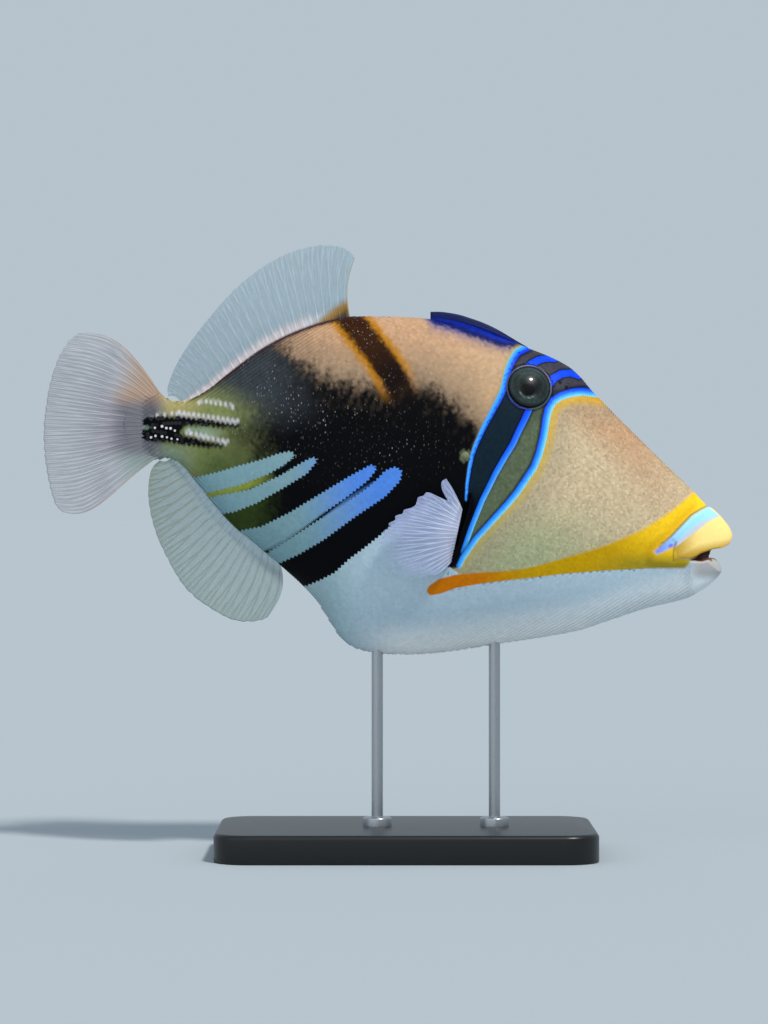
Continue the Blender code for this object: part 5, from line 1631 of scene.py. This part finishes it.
firstDorsal = {
    "crest": (
        (169.6, 107.4), (167.0, 108.9), (163.5, 111.0), (160.0, 113.1), (156.5, 114.9), (153.0, 116.4),
        (149.5, 117.6), (146.0, 118.7), (142.5, 119.4), (139.0, 119.8), (135.6, 119.8),
    ),
    "half": 1.05, "sinks": 1.2, "arch": 0.9,
    "spines": (  # from, to, radius at the root and at the tip
        ((166.6, 108.4), (137.2, 118.9), 1.4, 0.65), ((158.6, 112.1), (137.0, 117.9), 1.1, 0.5),
        ((149.0, 115.4), (136.8, 117.5), 0.85, 0.42),
    ),
}


def makeFoldedMaterial():
    # leathery pigment-stained resin: deep navy with a satin sheen and fine lengthwise grain
    material, tree, shader = newMaterial("stainedLeatherResin")
    place = addNode(tree, "ShaderNodeTexCoord").outputs["Object"]
    drawn = addNode(tree, "ShaderNodeVectorMath", {0: place, 1: (0.35, 1.0, 1.0)}, operation="MULTIPLY")
    grain = addNode(tree, "ShaderNodeTexNoise", {"Vector": drawn, "Scale": 1 / (0.45 * mm), "Detail": 3.0})
    spread = addNode(tree, "ShaderNodeMapRange", {0: grain, 1: 0.3, 2: 0.7, 3: 0.75, 4: 1.25})
    paint = addNode(tree, "ShaderNodeAttribute", attribute_name="paint")
    tone = addNode(tree, "ShaderNodeVectorMath", {0: paint, 3: spread}, operation="SCALE")
    tree.links.new(tone.outputs[0], shader.inputs["Base Color"])
    shader.inputs["Roughness"].default_value = 0.5
    shader.inputs["Specular IOR Level"].default_value = 0.1
    return material


def makeFirstDorsal():
    finish = makeFoldedMaterial()
    shares = np.linspace(0, 1, 90)
    top = curveThrough(firstDorsal["crest"])(shares)
    rings, sides = [], 24
    for (x, z), share in zip(top, shares):
        foot = back(x) - firstDorsal["sinks"]
        thick = firstDorsal["half"] * (0.35 + 0.65 * smooth(0, 0.12, share))
        for k in range(sides):
            a = 2 * math.pi * k / sides
            up = 0.5 + 0.5 * math.cos(a)
            width = thick * math.sin(a) * (1.25 - 0.75 * up)
            rings.append((x, width, foot + (z - foot) * up))
    piece = makePiece("foldedFin", rings, loftFaces(len(shares), sides), finish)
    mesh = bmesh.new()
    mesh.from_mesh(piece.data)
    steps, round16 = 40, np.arange(16) * math.pi / 8
    for start, end, thickRoot, thickTip in firstDorsal["spines"]:
        tube = []
        for t in np.linspace(0, 1, steps):
            x, z = np.array(start) * (1 - t) + np.array(end) * t
            z += firstDorsal["arch"] * math.sin(math.pi * t)
            radius = (thickRoot + (thickTip - thickRoot) * t) * min(1, 0.3 + 6 * min(t, 1 - t))
            tube += [(x, radius * math.sin(a), z + radius * math.cos(a)) for a in round16]
        extra = makePiece("spine", tube, loftFaces(steps, 16))
        mesh.from_mesh(extra.data)
        bpy.data.objects.remove(extra)
    bmesh.ops.recalc_face_normals(mesh, faces=mesh.faces)
    mesh.to_mesh(piece.data)
    mesh.free()
    piece.data.shade_smooth()
    points = vertexPlaces(piece)
    x, z = points[:, 0], points[:, 2]
    crest = profile(firstDorsal["crest"][::-1])(x)
    share = (z - back(x)) / np.maximum(crest - back(x), 0.3)
    paint = lay("#041452", "#06123E", smooth(0.5, 0.8, share))
    paint = lay(paint, "#0C2AA4", smooth(0.34, 0.14, share) * smooth(134, 140, x))
    setColour(piece, "paint", lay(paint, "#5A74B4", 0.5 * smooth(0.95, 1.0, share)))
    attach(piece, "root")
    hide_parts("first_dorsal_fin")


makeFirstDorsal()
print("folded fin ready")


# Stand: a lacquered base and two steel rods with collars

stand = {
    "base": (132.0, 78.0, 10.0), "middle": 127.0, "corner": 12.0, "edge": 1.6,
    "rods": (("standRodRear", "stand_rod_rear", 117.0), ("standRodFront", "stand_rod_front", 158.0)),
    "radius": 2.0, "sinks": 7.0, "collar": (5.0, 3.0, 0.6),
}


def makeLacquer():
    # satin black lacquer on wood: very dark, an even soft sheen, barely uneven like sprayed paint
    material, tree, shader = newMaterial("satinBlackLacquer")
    place = addNode(tree, "ShaderNodeTexCoord").outputs["Object"]
    peel = addNode(tree, "ShaderNodeTexNoise", {"Vector": place, "Scale": 1 / (1.4 * mm), "Detail": 1.0})
    bump = addNode(tree, "ShaderNodeBump", {"Strength": 0.25, "Distance": 0.02 * mm, "Height": peel})
    tree.links.new(bump.outputs[0], shader.inputs["Normal"])
    shader.inputs["Base Color"].default_value = shade("#0C0D0F")
    shader.inputs["Roughness"].default_value = 0.34
    shader.inputs["Specular IOR Level"].default_value = 0.4
    return material


def makeSteel():
    # steel rod brushed lengthwise: grey metal whose highlight breaks up in fine upright lines
    material, tree, shader = newMaterial("brushedSteel")
    place = addNode(tree, "ShaderNodeTexCoord").outputs["Object"]
    drawn = addNode(tree, "ShaderNodeVectorMath", {0: place, 1: (1.0, 1.0, 0.02)}, operation="MULTIPLY")
    lines = addNode(tree, "ShaderNodeTexNoise", {"Vector": drawn, "Scale": 1 / (0.12 * mm), "Detail": 2.0})
    rough = addNode(tree, "ShaderNodeMapRange", {0: lines, 1: 0.3, 2: 0.7, 3: 0.22, 4: 0.42})
    bump = addNode(tree, "ShaderNodeBump", {"Strength": 0.4, "Distance": 0.01 * mm, "Height": lines})
    tree.links.new(rough.outputs[0], shader.inputs["Roughness"])
    tree.links.new(bump.outputs[0], shader.inputs["Normal"])
    shader.inputs["Base Color"].default_value = shade("#A9ACB0")
    shader.inputs["Metallic"].default_value = 1.0
    return material


def makeBase(finish):
    length, width, height = stand["base"]
    levels = [(stand["edge"] * 0.35 * (1 - math.sin(a)), stand["edge"] * 0.35 * (1 - math.cos(a)))
              for a in np.linspace(0, math.pi / 2, 4)]
    levels += [(stand["edge"] * (1 - math.cos(a)), height - stand["edge"] * (1 - math.sin(a)))
               for a in np.linspace(0, math.pi / 2, 9)]
    rings, steps = [], 13  # points round a corner
    for inset, up in levels:
        corner = stand["corner"] - inset
        for turn, (sx, sy) in enumerate(((1, 1), (-1, 1), (-1, -1), (1, -1))):
            for a in np.linspace(0, math.pi / 2, steps) + turn * math.pi / 2:
                rings.append((stand["middle"] + sx * (length / 2 - stand["corner"]) + corner * math.cos(a),
                              sy * (width / 2 - stand["corner"]) + corner * math.sin(a), up - bellyHeight))
    piece = makePiece("standBase", rings, loftFaces(len(levels), 4 * steps), finish)
    recalculate(piece)
    piece.data.shade_smooth()
    piece.data.set_sharp_from_angle(angle=math.radians(30))
    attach(piece, "root")
    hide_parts("stand_base")


def makeRod(name, node, x, finish):
    wide, tall, edge = stand["collar"]
    floorUp = stand["base"][2] - bellyHeight
    outline = [(wide, 0.0), (wide, tall - edge)]
    outline += [(wide - edge * (1 - math.cos(a)), tall - edge * (1 - math.sin(a)))
                for a in np.linspace(0, math.pi / 2, 6)[1:]]
    outline += [(stand["radius"] + 0.15, tall), (stand["radius"], tall + 0.15)]
    top = float(belly(x)) + stand["sinks"] - floorUp
    outline += [(stand["radius"], top * t) for t in (0.2, 0.4, 0.6, 0.8)] + [(stand["radius"], top)]
    sides = 48
    turns = [2 * math.pi * k / sides for k in range(sides)]
    rings = [(x + r * math.cos(a), r * math.sin(a), floorUp + up) for r, up in outline for a in turns]
    piece = makePiece(name, rings, loftFaces(len(outline), sides), finish)
    recalculate(piece)
    piece.data.shade_smooth()
    piece.data.set_sharp_from_angle(angle=math.radians(40))
    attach(piece, "root")
    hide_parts(node)


makeBase(makeLacquer())
rodSteel = makeSteel()
for rodName, rodNode, rodX in stand["rods"]:
    makeRod(rodName, rodNode, rodX, rodSteel)
print("stand ready")


# Stage, light and camera: the floor, under sun and sky together, comes out as bright as the backdrop

view = {
    "upMm": 358.4, "centre": (-0.00115, 0.1197), "lens": 120.0, "sensor": 36.0,
    "floor": (30.0, -9.0, 50.0),  # half its width, and its edges before and behind, in metres
    "room": (0.47, 0.55, 0.61),
    "suns": (  # name, power, colour, how wide its disc is, how high it stands and how far to the right
        ("keySun", 2.6, (1.0, 0.97, 0.92), 7.5, 52.0, 37.0),
        ("fillSun", 0.7, (0.92, 0.97, 1.0), 80.0, 12.0, -35.0),
    ),
}


def makeStage():
    # a plain pale floor, wide enough that its edge lies at eye level
    material, tree, shader = newMaterial("matteEmulsionPaint")  # even and pale, no sheen
    tone = []
    for channel, room in enumerate(view["room"]):
        lit = sum(power * colour[channel] * math.sin(math.radians(up)) / math.pi
                  for _, power, colour, _, up, _ in view["suns"])
        tone.append(room / (room + lit))
    shader.inputs["Base Color"].default_value = (*tone, 1.0)
    shader.inputs["Roughness"].default_value = 1.0
    shader.inputs["Specular IOR Level"].default_value = 0.0
    side, front, rear = view["floor"]
    corners = ((-side, front, 0), (side, front, 0), (side, rear, 0), (-side, rear, 0))
    floor = makePiece("floor", toFish(corners), [(0, 1, 2, 3)], material, False)
    world = bpy.data.worlds.new("paleRoom")
    world.use_nodes = True
    backdrop = world.node_tree.nodes["Background"]
    backdrop.inputs["Color"].default_value = (*view["room"], 1.0)
    backdrop.inputs["Strength"].default_value = 1.0
    bpy.context.scene.world = world


def makeView():
    for name, power, colour, angle, up, aside in view["suns"]:
        lamp = bpy.data.lights.new(name, "SUN")
        lamp.energy, lamp.angle, lamp.color = power, math.radians(angle), colour
        sun = bpy.data.objects.new(name, lamp)
        bpy.context.scene.collection.objects.link(sun)
        up, aside = math.radians(up), math.radians(aside)
        towards = Vector((math.cos(up) * math.sin(aside), -math.cos(up) * math.cos(aside), math.sin(up)))
        sun.rotation_euler = (-towards).to_track_quat("-Z", "Y").to_euler()
    data = bpy.data.cameras.new("camera")
    data.lens, data.sensor_width = view["lens"], view["sensor"]
    camera = bpy.data.objects.new("camera", data)
    bpy.context.scene.collection.objects.link(camera)
    x, z = view["centre"]
    camera.location = (x, -view["upMm"] * mm * view["lens"] / view["sensor"], z)
    camera.rotation_euler = (math.pi / 2, 0, 0)
    bpy.context.scene.camera = camera
    bpy.context.scene.view_settings.view_transform = "Standard"


makeStage()
makeView()
print("stage, light and camera ready")
